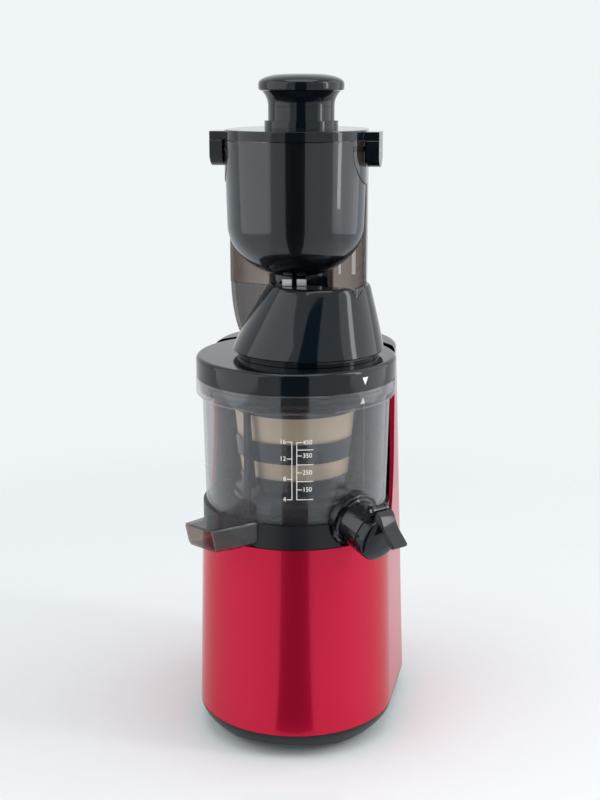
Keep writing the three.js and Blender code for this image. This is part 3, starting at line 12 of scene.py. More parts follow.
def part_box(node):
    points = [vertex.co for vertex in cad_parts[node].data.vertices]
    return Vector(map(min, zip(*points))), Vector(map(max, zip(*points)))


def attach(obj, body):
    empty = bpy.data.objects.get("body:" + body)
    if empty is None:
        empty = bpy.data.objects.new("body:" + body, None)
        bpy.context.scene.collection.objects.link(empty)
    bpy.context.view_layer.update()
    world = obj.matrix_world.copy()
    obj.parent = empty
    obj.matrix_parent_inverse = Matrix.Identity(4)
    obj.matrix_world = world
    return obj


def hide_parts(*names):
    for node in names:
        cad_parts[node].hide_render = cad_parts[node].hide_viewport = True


bl_info = {
    "name": "Cold press juicer",
    "version": (1, 0, 0),
    "blender": (4, 5, 0),
    "location": "View3D > Sidebar > Juicer",
    "description": "Models and finishes a cold press juicer around its packed frame",
    "category": "Object",
}

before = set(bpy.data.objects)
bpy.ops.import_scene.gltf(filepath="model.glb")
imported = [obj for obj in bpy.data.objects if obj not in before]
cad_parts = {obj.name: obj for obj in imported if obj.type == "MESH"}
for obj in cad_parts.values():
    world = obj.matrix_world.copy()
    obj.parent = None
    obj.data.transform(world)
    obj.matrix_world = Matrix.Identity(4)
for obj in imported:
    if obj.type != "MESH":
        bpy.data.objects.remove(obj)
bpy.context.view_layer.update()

SHAFT_LOW, SHAFT_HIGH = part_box("drive_shaft")
AXIS = Vector(((SHAFT_LOW.x + SHAFT_HIGH.x) / 2, (SHAFT_LOW.y + SHAFT_HIGH.y) / 2, 0.0))
UP = Vector((0, 0, 1))
QUARTER = math.pi / 2

# Heights above the bench
FOOT_Z = 0.003
TRAY_TOP_Z = 0.021
DECK_Z = 0.178
COLLAR_TOP_Z = 0.1975
RIM_Z = 0.289
RIM_TOP_Z = 0.3025
LID_TOP_Z = 0.320
SHOULDER_Z = 0.377
GATE_BOTTOM_Z = 0.3825
GATE_STRAIGHT_Z = 0.425
PIVOT_Z = 0.483
HOPPER_Z = 0.490
HOPPER_TOP_Z = 0.498
PUSHER_TOP_Z = 0.540

# Clearances
SEAT_GAP = 0.0003
RUN_GAP = 0.0005
OVERRUN = 0.002

# Housing
FRONT_LOW, FRONT_HIGH = 0.082, 0.078
REAR_LOW, REAR_HIGH = 0.085, 0.076
OFFSET_LOW, OFFSET_HIGH = 0.065, 0.050
HOUSING_WALL = 0.003
RIM_SPACE = 0.0855
SWEEP_START, COLUMN_EDGE, SWEEP_HEIGHT = 0.005, 0.031, 0.070
CAP_HEIGHT, CAP_ROUND = 0.014, 0.004
TRAY_TAPER = 0.014
ARCH_HALF, ARCH_HEIGHT = 0.042, 0.008

# Drum, strainer and lid
DRUM_LOW, DRUM_HIGH, DRUM_WALL = 0.0747, 0.0765, 0.0026
DRUM_FOOT_Z, DRUM_FLOOR_Z, DRUM_FLOOR_TOP_Z = 0.1813, 0.1845, 0.1875
RIM_RADIUS, RIM_INNER, RIM_STEP = 0.0815, 0.079, 0.003
BOSS_RADIUS, BOSS_TOP_Z = 0.012, 0.199
MESH_LOW_Z, MESH_HIGH_Z = 0.214, 0.280
MESH_LOW, MESH_HIGH = 0.044, 0.0507
STRAINER_TOP, STRAINER_BASE = 0.0532, 0.052
STRAINER_WALL = 0.0018
RIB_AZIMUTHS = (82, 150, 210, 278)
WINDOW_LOW = (0.2245, 0.239)
WINDOW_HIGH = (0.2555, 0.2775)
LID_RADIUS, LID_ROUND = 0.0813, 0.0035
TRACK_AZIMUTHS, TRACK_HALF_TURN, TRACK_STAND, TRACK_WIDTH = (41.5, -25), 22.5, 0.001, 0.0024
TRACK_HOOK, HOOK_TURN = 0.008, 3.4
PIN_RADIUS, PLUG_RADIUS, PLUG_DISTANCE = 0.004, 0.007, 0.031

# Spout and pulp chute, as azimuths from the front, turning towards +X
SPOUT_AZIMUTH, SPOUT_FALL, SPOUT_Z = math.radians(47), math.radians(14), 0.199
SPOUT_RADIUS, SPOUT_REACH = 0.0185, 0.026
PULP_AZIMUTH, PULP_END = math.radians(-32.5), 0.112
PULP_HALF, PULP_FLARE, PULP_HEIGHT, PULP_WALL, PULP_Z = 0.0155, 0.010, 0.020, 0.002, 0.190

# Hopper
GATE_RADIUS, CHUTE_RADIUS, CHUTE_OFFSET = 0.056, 0.054, 0.024
CHUTE_FOOT = (0.004, 0.022, 0.046)
CONE_FOOT, CONE_HEAD = (0.0103, -0.0022, 0.061), (0.0175, 0.0065, 0.0415)
HOPPER_WALL = 0.0026
GATE_EDGE = 0.006
SPLIT_RADIUS = 0.0266
PUSHER_RADIUS, PUSHER_HEAD = 0.0265, 0.0342
NECK_DEPTH, NECK_FLARE, NECK_SEAM = 0.012, 0.005, 0.0002

# Print on the drum and the lid, about the drive axis before it is turned to its azimuth
PRINT_Y = -0.0785
SCALE_AZIMUTH, ARROW_AZIMUTH = math.radians(8.5), math.radians(51)
SCALE_HEIGHTS = (0.2191, 0.2658)
OUNCE_X, MILLILITRE_X = -0.0012, 0.0027
LINE_WIDTH, SHORT_TICK, LONG_TICK, DIGIT_SIZE, ARROW_HALF = 0.0005, 0.0042, 0.0137, 0.0052, 0.0028
OUNCE_MARKS = ((16, 0.2658), (12, 0.2522), (8, 0.2357), (4, 0.2191))
MILLILITRE_MARKS = ((450, 0.2653), (350, 0.2547), (250, 0.2410), (150, 0.2272))
LONG_TICK_HEIGHTS = (0.2594, 0.2475, 0.2339, 0.2191)

# Stage
CARD_AZIMUTH, CARD_SPREAD, CARD_LIFT = math.radians(8.7), math.radians(15.5), 0.0008

# Smoothness
ROUND_STEPS = 128
FINE_STEPS = 64


def place(x=0.0, y=0.0, z=0.0):
    """A point given from the drive shaft's axis."""
    return Vector((AXIS.x + x, AXIS.y + y, z))


class Value:
    """A number in a material. Arithmetic on it adds Math nodes."""

    def __init__(self, tree, socket):
        self.tree = tree
        self.socket = socket

    def maths(self, operation, first, second=None):
        made = self.tree.nodes.new("ShaderNodeMath")
        made.operation = operation
        for slot, value in enumerate((first, second)):
            if isinstance(value, Value):
                self.tree.links.new(value.socket, made.inputs[slot])
            elif value is not None:
                made.inputs[slot].default_value = value
        return Value(self.tree, made.outputs[0])

    def __add__(self, other):
        return self.maths("ADD", self, other)

    def __sub__(self, other):
        return self.maths("SUBTRACT", self, other)

    def __rsub__(self, other):
        return self.maths("SUBTRACT", other, self)

    def __mul__(self, other):
        return self.maths("MULTIPLY", self, other)

    def __pow__(self, other):
        return self.maths("POWER", self, other)

    __radd__ = __add__
    __rmul__ = __mul__


class Finish:
    """A material under construction."""

    def __init__(self, name):
        self.material = bpy.data.materials.new(name)
        self.material.use_nodes = True
        self.tree = self.material.node_tree
        self.tree.nodes.clear()

    def node(self, kind, settings=None, sockets=None, out=0):
        """Adds a node of a type, with its settings, then its sockets' values or links; gives one output."""
        made = self.tree.nodes.new("ShaderNode" + kind)
        for name, value in (settings or {}).items():
            if name == "stops":
                for stop, (position, shade) in zip(made.color_ramp.elements, value):
                    stop.position = position
                    stop.color = shade
            else:
                setattr(made, name, value)
        for name, value in (sockets or {}).items():
            if isinstance(value, Value):
                self.tree.links.new(value.socket, made.inputs[name])
            else:
                made.inputs[name].default_value = value
        return Value(self.tree, made.outputs[out]) if made.outputs else None

    def place(self):
        return self.node("TexCoord", out="Object")

    def noise(self, scale, detail=2.0, stretch=(1, 1, 1)):
        spot = self.node("Mapping", sockets={"Vector": self.place(), "Scale": stretch})
        return self.node("TexNoise", sockets={"Vector": spot, "Scale": scale, "Detail": detail})

    def blend(self, factor, first, second):
        """Mixes two colours."""
        return self.node("Mix", {"data_type": "RGBA"}, {0: factor, 6: first, 7: second}, out=2)

    def bump(self, height, strength, distance):
        return self.node("Bump", sockets={"Height": height, "Strength": strength, "Distance": distance})

    def shader(self, **sockets):
        return self.node("BsdfPrincipled", sockets={n.replace("_", " "): v for n, v in sockets.items()})

    def done(self, surface):
        self.node("OutputMaterial", sockets={"Surface": surface})
        return self.material


def tone(colour, share):
    """A colour made lighter or darker, with its alpha kept."""
    return tuple(channel * share for channel in colour[:3]) + (1.0,)


class JuicerColours(bpy.types.PropertyGroup):
    """The colours of the finishes."""

    red: bpy.props.FloatVectorProperty(
        name="Housing red", description="Metallic paint of the housing", subtype="COLOR", size=4,
        default=(0.58, 0.008, 0.045, 1), min=0, max=1)
    black: bpy.props.FloatVectorProperty(
        name="Gloss black", description="Lid, hopper top, pusher and spout cap", subtype="COLOR", size=4,
        default=(0.003, 0.007, 0.011, 1), min=0, max=1)
    satin: bpy.props.FloatVectorProperty(
        name="Satin black", description="Base tray, deck and column panel", subtype="COLOR", size=4,
        default=(0.006, 0.008, 0.010, 1), min=0, max=1)
    clear_tint: bpy.props.FloatVectorProperty(
        name="Drum tint", description="What one face of the drum lets through", subtype="COLOR", size=4,
        default=(0.94, 0.925, 0.92, 1), min=0, max=1)
    dark_tint: bpy.props.FloatVectorProperty(
        name="Gate tint", description="What one face of the flip gate lets through", subtype="COLOR", size=4,
        default=(0.40, 0.38, 0.37, 1), min=0, max=1)
    chute_tint: bpy.props.FloatVectorProperty(
        name="Chute tint", description="What one face of the feed chute lets through", subtype="COLOR", size=4,
        default=(0.55, 0.50, 0.475, 1), min=0, max=1)
    duct_tint: bpy.props.FloatVectorProperty(
        name="Pulp duct tint", description="What one face of the pulp duct lets through", subtype="COLOR", size=4,
        default=(0.62, 0.565, 0.54, 1), min=0, max=1)
    mesh: bpy.props.FloatVectorProperty(
        name="Strainer mesh", description="Steel bands of the strainer", subtype="COLOR", size=4,
        default=(0.74, 0.63, 0.47, 1), min=0, max=1)
    backdrop: bpy.props.FloatVectorProperty(
        name="Backdrop", description="Floor and background", subtype="COLOR", size=4,
        default=(0.87, 0.91, 0.925, 1), min=0, max=1)


def crimson_paint(colour):
    """Metallic paint with fine flakes under a clear coat."""
    f = Finish("crimson_paint")
    flakes = f.noise(2600, detail=1.0)
    drift = f.noise(14, detail=3.0)
    base = f.blend(flakes * 0.5 + drift * 0.3, tone(colour, 0.86), tone(colour, 1.16))
    return f.done(f.shader(
        Base_Color=base, Metallic=0.55, Roughness=drift * 0.06 + 0.2, Specular_Tint=(0.7, 0.1, 0.16, 1),
        Coat_Weight=0.6, Coat_Roughness=0.04,
        Coat_IOR=1.3, Normal=f.bump(f.noise(420, detail=1.0), 0.05, 0.0001)))


def gloss_black(colour):
    """Piano black moulding with a faint haze of handling."""
    f = Finish("gloss_black")
    haze = f.noise(38, detail=4.0)
    base = f.blend(haze, tone(colour, 0.8), tone(colour, 1.3))
    return f.done(f.shader(
        Base_Color=base, Roughness=haze * 0.08 + 0.04, IOR=1.41,
        Normal=f.bump(f.noise(120, detail=2.0), 0.04, 0.0002)))


def satin_black(colour):
    """Moulded plastic with a fine spark-eroded grain."""
    f = Finish("satin_black")
    grain = f.noise(1900, detail=2.0)
    drift = f.noise(22, detail=3.0)
    base = f.blend(drift, tone(colour, 0.8), tone(colour, 1.35))
    return f.done(f.shader(
        Base_Color=base, Roughness=grain * 0.14 + 0.3, Specular_IOR_Level=0.35, Normal=f.bump(grain, 0.14, 0.0002)))


def black_rubber():
    f = Finish("black_rubber")
    grain = f.noise(900, detail=3.0)
    base = f.blend(grain, (0.008, 0.008, 0.008, 1), (0.022, 0.022, 0.022, 1))
    return f.done(f.shader(Base_Color=base, Roughness=grain * 0.15 + 0.7, Normal=f.bump(grain, 0.3, 0.0003)))


def turned_metal(name, colour, roughness):
    """Metal with fine turning marks round the drive axis."""
    f = Finish(name)
    marks = f.noise(160, detail=3.0, stretch=(1, 1, 22))
    base = f.blend(marks, tone(colour, 0.82), tone(colour, 1.12))
    return f.done(f.shader(
        Base_Color=base, Metallic=1.0, Roughness=marks * 0.16 + roughness, Normal=f.bump(marks, 0.1, 0.0002)))


def moulded(name, colour):
    """Plain engineering plastic."""
    f = Finish(name)
    drift = f.noise(60, detail=3.0)
    base = f.blend(drift, tone(colour, 0.86), tone(colour, 1.08))
    return f.done(f.shader(Base_Color=base, Roughness=drift * 0.15 + 0.4))


def perforated_steel(colour):
    """Fine rows of slots etched through the strainer's steel."""
    f = Finish("perforated_steel")
    centred = f.node("Mapping", sockets={"Vector": f.place(), "Location": (-AXIS.x, -AXIS.y, 0)})
    parts = f.node("SeparateXYZ", sockets={"Vector": centred})
    x, y, z = (Value(f.tree, parts.socket.node.outputs[i]) for i in range(3))
    turn = x.maths("ARCTAN2", y, x)
    rows = (z * 5200.0).maths("SINE", z * 5200.0)
    slots = (turn * 190.0).maths("SINE", turn * 190.0)
    holes = (rows * slots).maths("GREATER_THAN", rows * slots, 0.34)
    band = f.noise(9, detail=2.0, stretch=(1, 1, 0.1))
    base = f.blend(holes * 0.55 + band * 0.2, tone(colour, 1.12), tone(colour, 0.4))
    return f.done(f.shader(
        Base_Color=base, Metallic=0.35, Roughness=holes * 0.2 + 0.38, Normal=f.bump(1 - holes, 0.2, 0.0003)))


def smoke(name, tint, haze_colour, haze, edge_haze=0.0, shine=0.035):
    """Tinted clear plastic: at a grazing angle it is deeper and mirrors more, and it veils what lies behind it."""
    f = Finish(name)
    drift = f.noise(26, detail=3.0)
    facing = f.node("LayerWeight", sockets={"Blend": 0.5}, out="Facing")
    clear = f.node("BsdfTransparent", sockets={"Color": tuple(tint)})
    deep = f.node("BsdfTransparent", sockets={"Color": tuple(channel ** 3 for channel in tint[:3]) + (1.0,)})
    through = f.node("MixShader", sockets={0: facing ** 2.5, 1: clear, 2: deep})
    veil = f.shader(Base_Color=haze_colour, Roughness=0.25)
    body = f.node("MixShader", sockets={0: (drift * 0.4 + 0.8) * haze + facing * edge_haze, 1: through, 2: veil})
    mirror = f.shader(Base_Color=(0.82, 0.92, 1.0, 1), Metallic=1.0, Roughness=0.03)
    return f.done(f.node("MixShader", sockets={0: facing ** 4.0 * 0.6 + shine, 1: body, 2: mirror}))


def white_ink():
    f = Finish("white_ink")
    grain = f.noise(700, detail=2.0)
    base = f.blend(grain, (0.8, 0.8, 0.78, 1), (0.92, 0.92, 0.9, 1))
    # The white emission is a painted glow that makes the print brighter than the lamps light it.
    return f.done(f.shader(
        Base_Color=base, Roughness=grain * 0.1 + 0.35, Emission_Color=(1, 1, 1, 1), Emission_Strength=0.25))


def clear_selection():
    if bpy.context.object and bpy.context.object.mode != "OBJECT":
        bpy.ops.object.mode_set(mode="OBJECT")
    bpy.ops.object.select_all(action="DESELECT")


def edit(piece):
    """Opens one piece in edit mode with nothing selected."""
    clear_selection()
    bpy.context.view_layer.objects.active = piece
    piece.select_set(True)
    bpy.ops.object.mode_set(mode="EDIT")
    bpy.ops.mesh.select_mode(type="VERT")
    bpy.ops.mesh.select_all(action="DESELECT")


def pick(piece, wanted):
    """Selects the vertices that a test of their place accepts, of those in edit mode."""
    mesh = bmesh.from_edit_mesh(piece.data)
    for vertex in mesh.verts:
        vertex.select_set(wanted(piece.matrix_world @ vertex.co))
    mesh.select_flush_mode()
    bmesh.update_edit_mesh(piece.data)


def set_in_place(piece):
    """Puts the piece's place into its mesh and its object at the origin."""
    clear_selection()
    bpy.context.view_layer.objects.active = piece
    piece.select_set(True)
    bpy.ops.object.transform_apply(location=True, rotation=True, scale=True)
    return piece


def modify(piece, kind, **settings):
    """Adds one modifier and applies it."""
    clear_selection()
    bpy.context.view_layer.objects.active = piece
    piece.select_set(True)
    made = piece.modifiers.new(kind.lower(), kind)
    for name, value in settings.items():
        setattr(made, name, value)
    bpy.ops.object.modifier_apply(modifier=made.name)
    return piece


def drop(*pieces):
    for piece in pieces:
        bpy.data.objects.remove(piece, do_unlink=True)


def carve(piece, *cutters, operation="DIFFERENCE", keep=False):
    """Cuts, joins or keeps what is common with other shapes, which are then removed."""
    for cutter in cutters:
        modify(piece, "BOOLEAN", operation=operation, object=cutter, solver="EXACT")
        if not keep:
            drop(cutter)
    return piece


def heal(piece, distance=1e-6):
    """Merges doubled corners and points the faces outwards."""
    edit(piece)
    bpy.ops.mesh.select_all(action="SELECT")
    bpy.ops.mesh.remove_doubles(threshold=distance)
    bpy.ops.mesh.normals_make_consistent(inside=False)
    bpy.ops.object.mode_set(mode="OBJECT")
    return piece


def ring_solid(name, rings, steps=ROUND_STEPS, filled=True, closed=False):
    """A shape drawn up from ring to ring. A ring is its height and one or two circles, each (x, y, radius):
    the front half follows the first circle and the rear half the second. closed joins the last ring to the first.
    """
    height, circles = rings[0]
    x, y, radius = circles[0]
    bpy.ops.mesh.primitive_circle_add(
        vertices=steps, radius=radius, location=place(x, y, height), fill_type="NGON" if filled else "NOTHING")
    piece = set_in_place(bpy.context.object)
    piece.name = name
    edit(piece)
    double = len(circles) > 1
    bpy.ops.mesh.select_all(action="SELECT")
    if double:
        reshape(piece, [circles[0], circles[0]], circles, height)
    for (below, old), (above, new) in zip(rings, rings[1:]):
        if filled:
            bpy.ops.mesh.extrude_region_move(TRANSFORM_OT_translate={"value": (0, 0, above - below)})
        else:
            bpy.ops.mesh.extrude_edges_move(TRANSFORM_OT_translate={"value": (0, 0, above - below)})
        reshape(piece, old, new, above)
    bpy.ops.object.mode_set(mode="OBJECT")
    if closed or filled:
        heal(piece)
    return piece


def reshape(piece, old, new, height):
    """Takes the selected ring from its old circles to its new ones, a half at a time."""
    if len(old) == 1:
        move_ring(old[0], new[0], height)
        return
    mesh = bmesh.from_edit_mesh(piece.data)
    chosen = [v for v in mesh.verts if v.select]
    split = AXIS.y + old[0][1] + 1e-6
    rear = [v for v in chosen if v.co.y > split]
    front = [v for v in chosen if v.co.y <= split]
    for part, before, after in ((front, old[0], new[0]), (rear, old[1], new[1])):
        for v in mesh.verts:
            v.select_set(False)
        for v in part:
            v.select_set(True)
        mesh.select_flush_mode()
        bmesh.update_edit_mesh(piece.data)
        move_ring(before, after, height)
    for v in chosen:
        v.select_set(True)
    mesh.select_flush_mode()
    bmesh.update_edit_mesh(piece.data)


def move_ring(before, after, height):
    shift = (after[0] - before[0], after[1] - before[1], 0)
    if shift != (0, 0, 0):
        bpy.ops.transform.translate(value=shift)
    share = after[2] / before[2]
    if share != 1:
        bpy.ops.transform.resize(value=(share, share, 1), center_override=place(after[0], after[1], height))


def lathe(name, profile, steps=ROUND_STEPS, centre=(0.0, 0.0), closed=False, filled=True):
    """A turned shape from (radius, height) points; closed profiles come back to their first point."""
    points = list(profile) + ([profile[0]] if closed else [])
    rings = [(z, [(centre[0], centre[1], radius)]) for radius, z in points]
    return ring_solid(name, rings, steps, filled=filled and not closed, closed=closed)


def tube(name, outer, inner, low, high, steps=ROUND_STEPS, centre=(0.0, 0.0)):
    return lathe(name, [(inner, low), (outer, low), (outer, high), (inner, high)], steps, centre, closed=True)


def rod(name, radius, low, high, steps=ROUND_STEPS, centre=(0.0, 0.0)):
    bpy.ops.mesh.primitive_cylinder_add(
        vertices=steps, radius=radius, depth=high - low, location=place(centre[0], centre[1], (low + high) / 2))
    piece = set_in_place(bpy.context.object)
    piece.name = name
    return piece


def block(name, x0, x1, y0, y1, z0, z1):
    bpy.ops.mesh.primitive_cube_add(size=1, location=place((x0 + x1) / 2, (y0 + y1) / 2, (z0 + z1) / 2))
    piece = bpy.context.object
    piece.scale = (x1 - x0, y1 - y0, z1 - z0)
    piece.name = name
    return set_in_place(piece)


def cross_rod(name, radius, half_length, y, z, steps=FINE_STEPS):
    """A rod along X."""
    bpy.ops.mesh.primitive_cylinder_add(
        vertices=steps, radius=radius, depth=2 * half_length, location=place(0, y, z), rotation=(0, QUARTER, 0))
    piece = set_in_place(bpy.context.object)
    piece.name = name
    return piece


def prism(name, outline, x0, x1):
    """An outline of (y, z) points, drawn point by point from one corner, filled and drawn out along X."""
    bpy.ops.mesh.primitive_plane_add(size=0.001, location=place(x0, *outline[0]))
    piece = set_in_place(bpy.context.object)
    piece.name = name
    edit(piece)
    bpy.ops.mesh.select_all(action="SELECT")
    bpy.ops.mesh.merge(type="CENTER")
    for before, after in zip(outline, outline[1:]):
        step = (0, after[0] - before[0], after[1] - before[1])
        bpy.ops.mesh.extrude_vertices_move(TRANSFORM_OT_translate={"value": step})
    bpy.ops.mesh.select_all(action="SELECT")
    bpy.ops.mesh.edge_face_add()
    bpy.ops.mesh.extrude_region_move(TRANSFORM_OT_translate={"value": (x1 - x0, 0, 0)})
    bpy.ops.object.mode_set(mode="OBJECT")
    return heal(piece)


def sector(name, inner, outer, low, high, start, end):
    """A stretch of ring between two azimuths in degrees."""
    stretch = tube(name, outer, inner, low, high)
    far = 2 * outer
    for x0, x1, azimuth in ((0, far, start), (-far, 0, end)):
        half = block("half", x0, x1, -far, far, low - OVERRUN, high + OVERRUN)
        carve(stretch, turn_about_axis(half, math.radians(azimuth)), operation="INTERSECT")
    return stretch


def turn_about_axis(piece, azimuth):
    """Turns a piece about the drive axis, by an angle from the front towards +X."""
    piece.matrix_world = Matrix.Translation(AXIS) @ Matrix.Rotation(azimuth, 4, "Z") @ Matrix.Translation(-AXIS)
    return set_in_place(piece)


def arc(first, last, bulge, count=6):
    """Points from first to last along an elliptic quarter that leaves first along its first axis (bulge 0) or
    its second (bulge 1)."""
    points = []
    for i in range(1, count + 1):
        turn = i / count * QUARTER
        along, late = math.sin(turn), 1 - math.cos(turn)
        share = (along, late) if bulge == 0 else (late, along)
        points.append((first[0] + (last[0] - first[0]) * share[0], first[1] + (last[1] - first[1]) * share[1]))
    return points


def complete(piece, body, material, replaces=(), bevel=0.0, segments=2, angle=32, smooth=30):
    """Rounds the edges, sets the shading and hands the piece to its body."""
    heal(piece)
    if bevel:
        modify(piece, "BEVEL", width=bevel, segments=segments, limit_method="ANGLE",
               angle_limit=math.radians(angle), harden_normals=False, use_clamp_overlap=True)
    clear_selection()
    bpy.context.view_layer.objects.active = piece
    piece.select_set(True)
    bpy.ops.object.shade_smooth_by_angle(angle=math.radians(smooth))
    modify(piece, "WEIGHTED_NORMAL", keep_sharp=True)
    piece.data.materials.clear()
    piece.data.materials.append(material)
    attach(piece, body)
    if replaces:
        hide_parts(*replaces)
    return piece


FINISHES = {}


def finish_of(name):
    return FINISHES[name]


def housing_circles(z, inset=0.0):
    """The housing's two circles at a height, drawn in by an inset."""
    share = (z - TRAY_TOP_Z) / (LID_TOP_Z - TRAY_TOP_Z)
    front_share = min(1.0, (z - TRAY_TOP_Z) / (DECK_Z - TRAY_TOP_Z))
    front = FRONT_LOW + (FRONT_HIGH - FRONT_LOW) * front_share
    rear = REAR_LOW + (REAR_HIGH - REAR_LOW) * share
    offset = OFFSET_LOW + (OFFSET_HIGH - OFFSET_LOW) * share
    return [(0, 0, front - inset), (0, offset, rear - inset)]


def hull(name, heights, inset=0.0, steps=ROUND_STEPS):
    """A housing-shaped solid through heights, each one a height or a (height, inset) pair."""
    pairs = [h if isinstance(h, tuple) else (h, inset) for h in heights]
    return ring_solid(name, [(z, housing_circles(z, more)) for z, more in pairs], steps)


def space_over_deck(name):
    """All that lies in front of the column: its edge sweeps up from the deck."""
    far = -2 * REAR_LOW
    sweep = arc((SWEEP_START, DECK_Z), (COLUMN_EDGE, DECK_Z + SWEEP_HEIGHT), 0, 12)
    outline = [(far, DECK_Z), (SWEEP_START, DECK_Z)] + sweep + [(COLUMN_EDGE, LID_TOP_Z + OVERRUN),
                                                                (far, LID_TOP_Z + OVERRUN)]
    return prism(name, outline, far, -far)


def make_body_shell():
    column_top = LID_TOP_Z - CAP_HEIGHT
    shell = hull("body_shell_paint", [TRAY_TOP_Z, DECK_Z, column_top])
    hollow = ring_solid("hollow", [
        (TRAY_TOP_Z - OVERRUN, housing_circles(TRAY_TOP_Z, HOUSING_WALL)),
        (DECK_Z, housing_circles(DECK_Z, HOUSING_WALL)),
        (column_top + OVERRUN, housing_circles(column_top, HOUSING_WALL))])
    switch_hole = block("switch_hole", -0.009, 0.009, 0.11, 0.16, 0.056, 0.084)
    bpy.ops.mesh.primitive_cylinder_add(
        vertices=FINE_STEPS, radius=0.008, depth=0.05, location=place(0, 0.145, 0.038), rotation=(QUARTER, 0, 0))
    gland_hole = set_in_place(bpy.context.object)
    carve(shell, hollow, rod("wall_space", FRONT_HIGH + SEAT_GAP, DECK_Z, LID_TOP_Z),
          rod("rim_space", RIM_SPACE, RIM_Z - RIM_STEP - RUN_GAP, LID_TOP_Z), space_over_deck("over_deck"),
          switch_hole, gland_hole)
    return complete(shell, "housing", finish_of("red"), ["body_shell"], bevel=0.0005, smooth=25)


def make_column_cap():
    low_z = LID_TOP_Z - CAP_HEIGHT + SEAT_GAP
    rounding = [(LID_TOP_Z - CAP_ROUND + CAP_ROUND * math.sin(i / 5 * QUARTER),
                 CAP_ROUND * (1 - math.cos(i / 5 * QUARTER))) for i in range(6)]
    cap = ring_solid("column_cap_gloss", [(z, housing_circles(z, inset)) for z, inset in [(low_z, 0)] + rounding])
    carve(cap, rod("rim_space", RIM_SPACE, low_z - OVERRUN, LID_TOP_Z + OVERRUN), space_over_deck("over_deck"))
    return complete(cap, "housing", finish_of("gloss"), ["column_cap"], bevel=0.0008)


def make_base_tray():
    rounding = [(FOOT_Z + (TRAY_TOP_Z - SEAT_GAP - FOOT_Z) * share, TRAY_TAPER * (1 - share) ** 1.7)
                for share in (0, 0.08, 0.2, 0.35, 0.5, 0.65, 0.8, 0.9, 1)]
    tray = ring_solid("base_tray_satin", [(z, housing_circles(z, inset)) for z, inset in rounding])
    bpy.ops.mesh.primitive_cylinder_add(
        vertices=ROUND_STEPS, radius=ARCH_HALF, depth=FRONT_LOW, location=place(0, -FRONT_LOW, FOOT_Z),
        rotation=(QUARTER, 0, 0))
    arch = bpy.context.object
    arch.scale = (1, ARCH_HEIGHT / ARCH_HALF, 1)
    carve(tray, set_in_place(arch))
    return complete(tray, "housing", finish_of("satin"), ["base_tray"], bevel=0.0008, smooth=35)


def make_drum_deck():
    top = COLLAR_TOP_Z
    radius = FRONT_HIGH - SEAT_GAP - RUN_GAP
    deck = lathe("drum_deck_satin", [
        (0.0113, DECK_Z + SEAT_GAP), (radius, DECK_Z + SEAT_GAP), (radius, top), (radius - 0.0026, top),
        (radius - 0.0026, DECK_Z + 0.003), (0.0113, DECK_Z + 0.003)], closed=True)
    chute_gap = turn_about_axis(
        block("chute_gap", -0.016, 0.026, -PULP_END, -0.073, DECK_Z - OVERRUN, top + OVERRUN), PULP_AZIMUTH)
    bpy.ops.mesh.primitive_cylinder_add(
        vertices=FINE_STEPS, radius=0.0235, depth=0.05, location=place(0, -0.098, SPOUT_Z), rotation=(QUARTER, 0, 0))
    spout_gap = turn_about_axis(set_in_place(bpy.context.object), SPOUT_AZIMUTH)
    above = turn_about_axis(block("above", -0.0235, 0.0235, -PULP_END, -0.073, SPOUT_Z, SPOUT_Z + 0.02), SPOUT_AZIMUTH)
    carve(deck, chute_gap, spout_gap, above)
    return complete(deck, "housing", finish_of("satin"), ["drum_deck"], bevel=0.0006)


def spout_frame():
    """Local Z runs out along the spout, local Y up and away from the bench, local X along its hinge."""
    out = Vector((math.sin(SPOUT_AZIMUTH) * math.cos(SPOUT_FALL), -math.cos(SPOUT_AZIMUTH) * math.cos(SPOUT_FALL),
                  -math.sin(SPOUT_FALL)))
    side = Vector((math.cos(SPOUT_AZIMUTH), math.sin(SPOUT_AZIMUTH), 0))
    up = out.cross(side)
    turn = Matrix((side, up, out)).transposed().to_4x4()
    return Matrix.Translation(place(DRUM_LOW * math.sin(SPOUT_AZIMUTH), -DRUM_LOW * math.cos(SPOUT_AZIMUTH),
                                    SPOUT_Z)) @ turn


def to_spout(piece):
    """Moves a piece drawn about the drive axis at the bench into the spout's own axes."""
    piece.matrix_world = spout_frame() @ Matrix.Translation(-AXIS)
    return set_in_place(piece)


def drum_radius(z):
    """The drum's outer radius at a height."""
    share = (z - COLLAR_TOP_Z) / (RIM_Z - RIM_STEP - COLLAR_TOP_Z)
    return DRUM_LOW + (DRUM_HIGH - DRUM_LOW) * min(1.0, max(0.0, share))


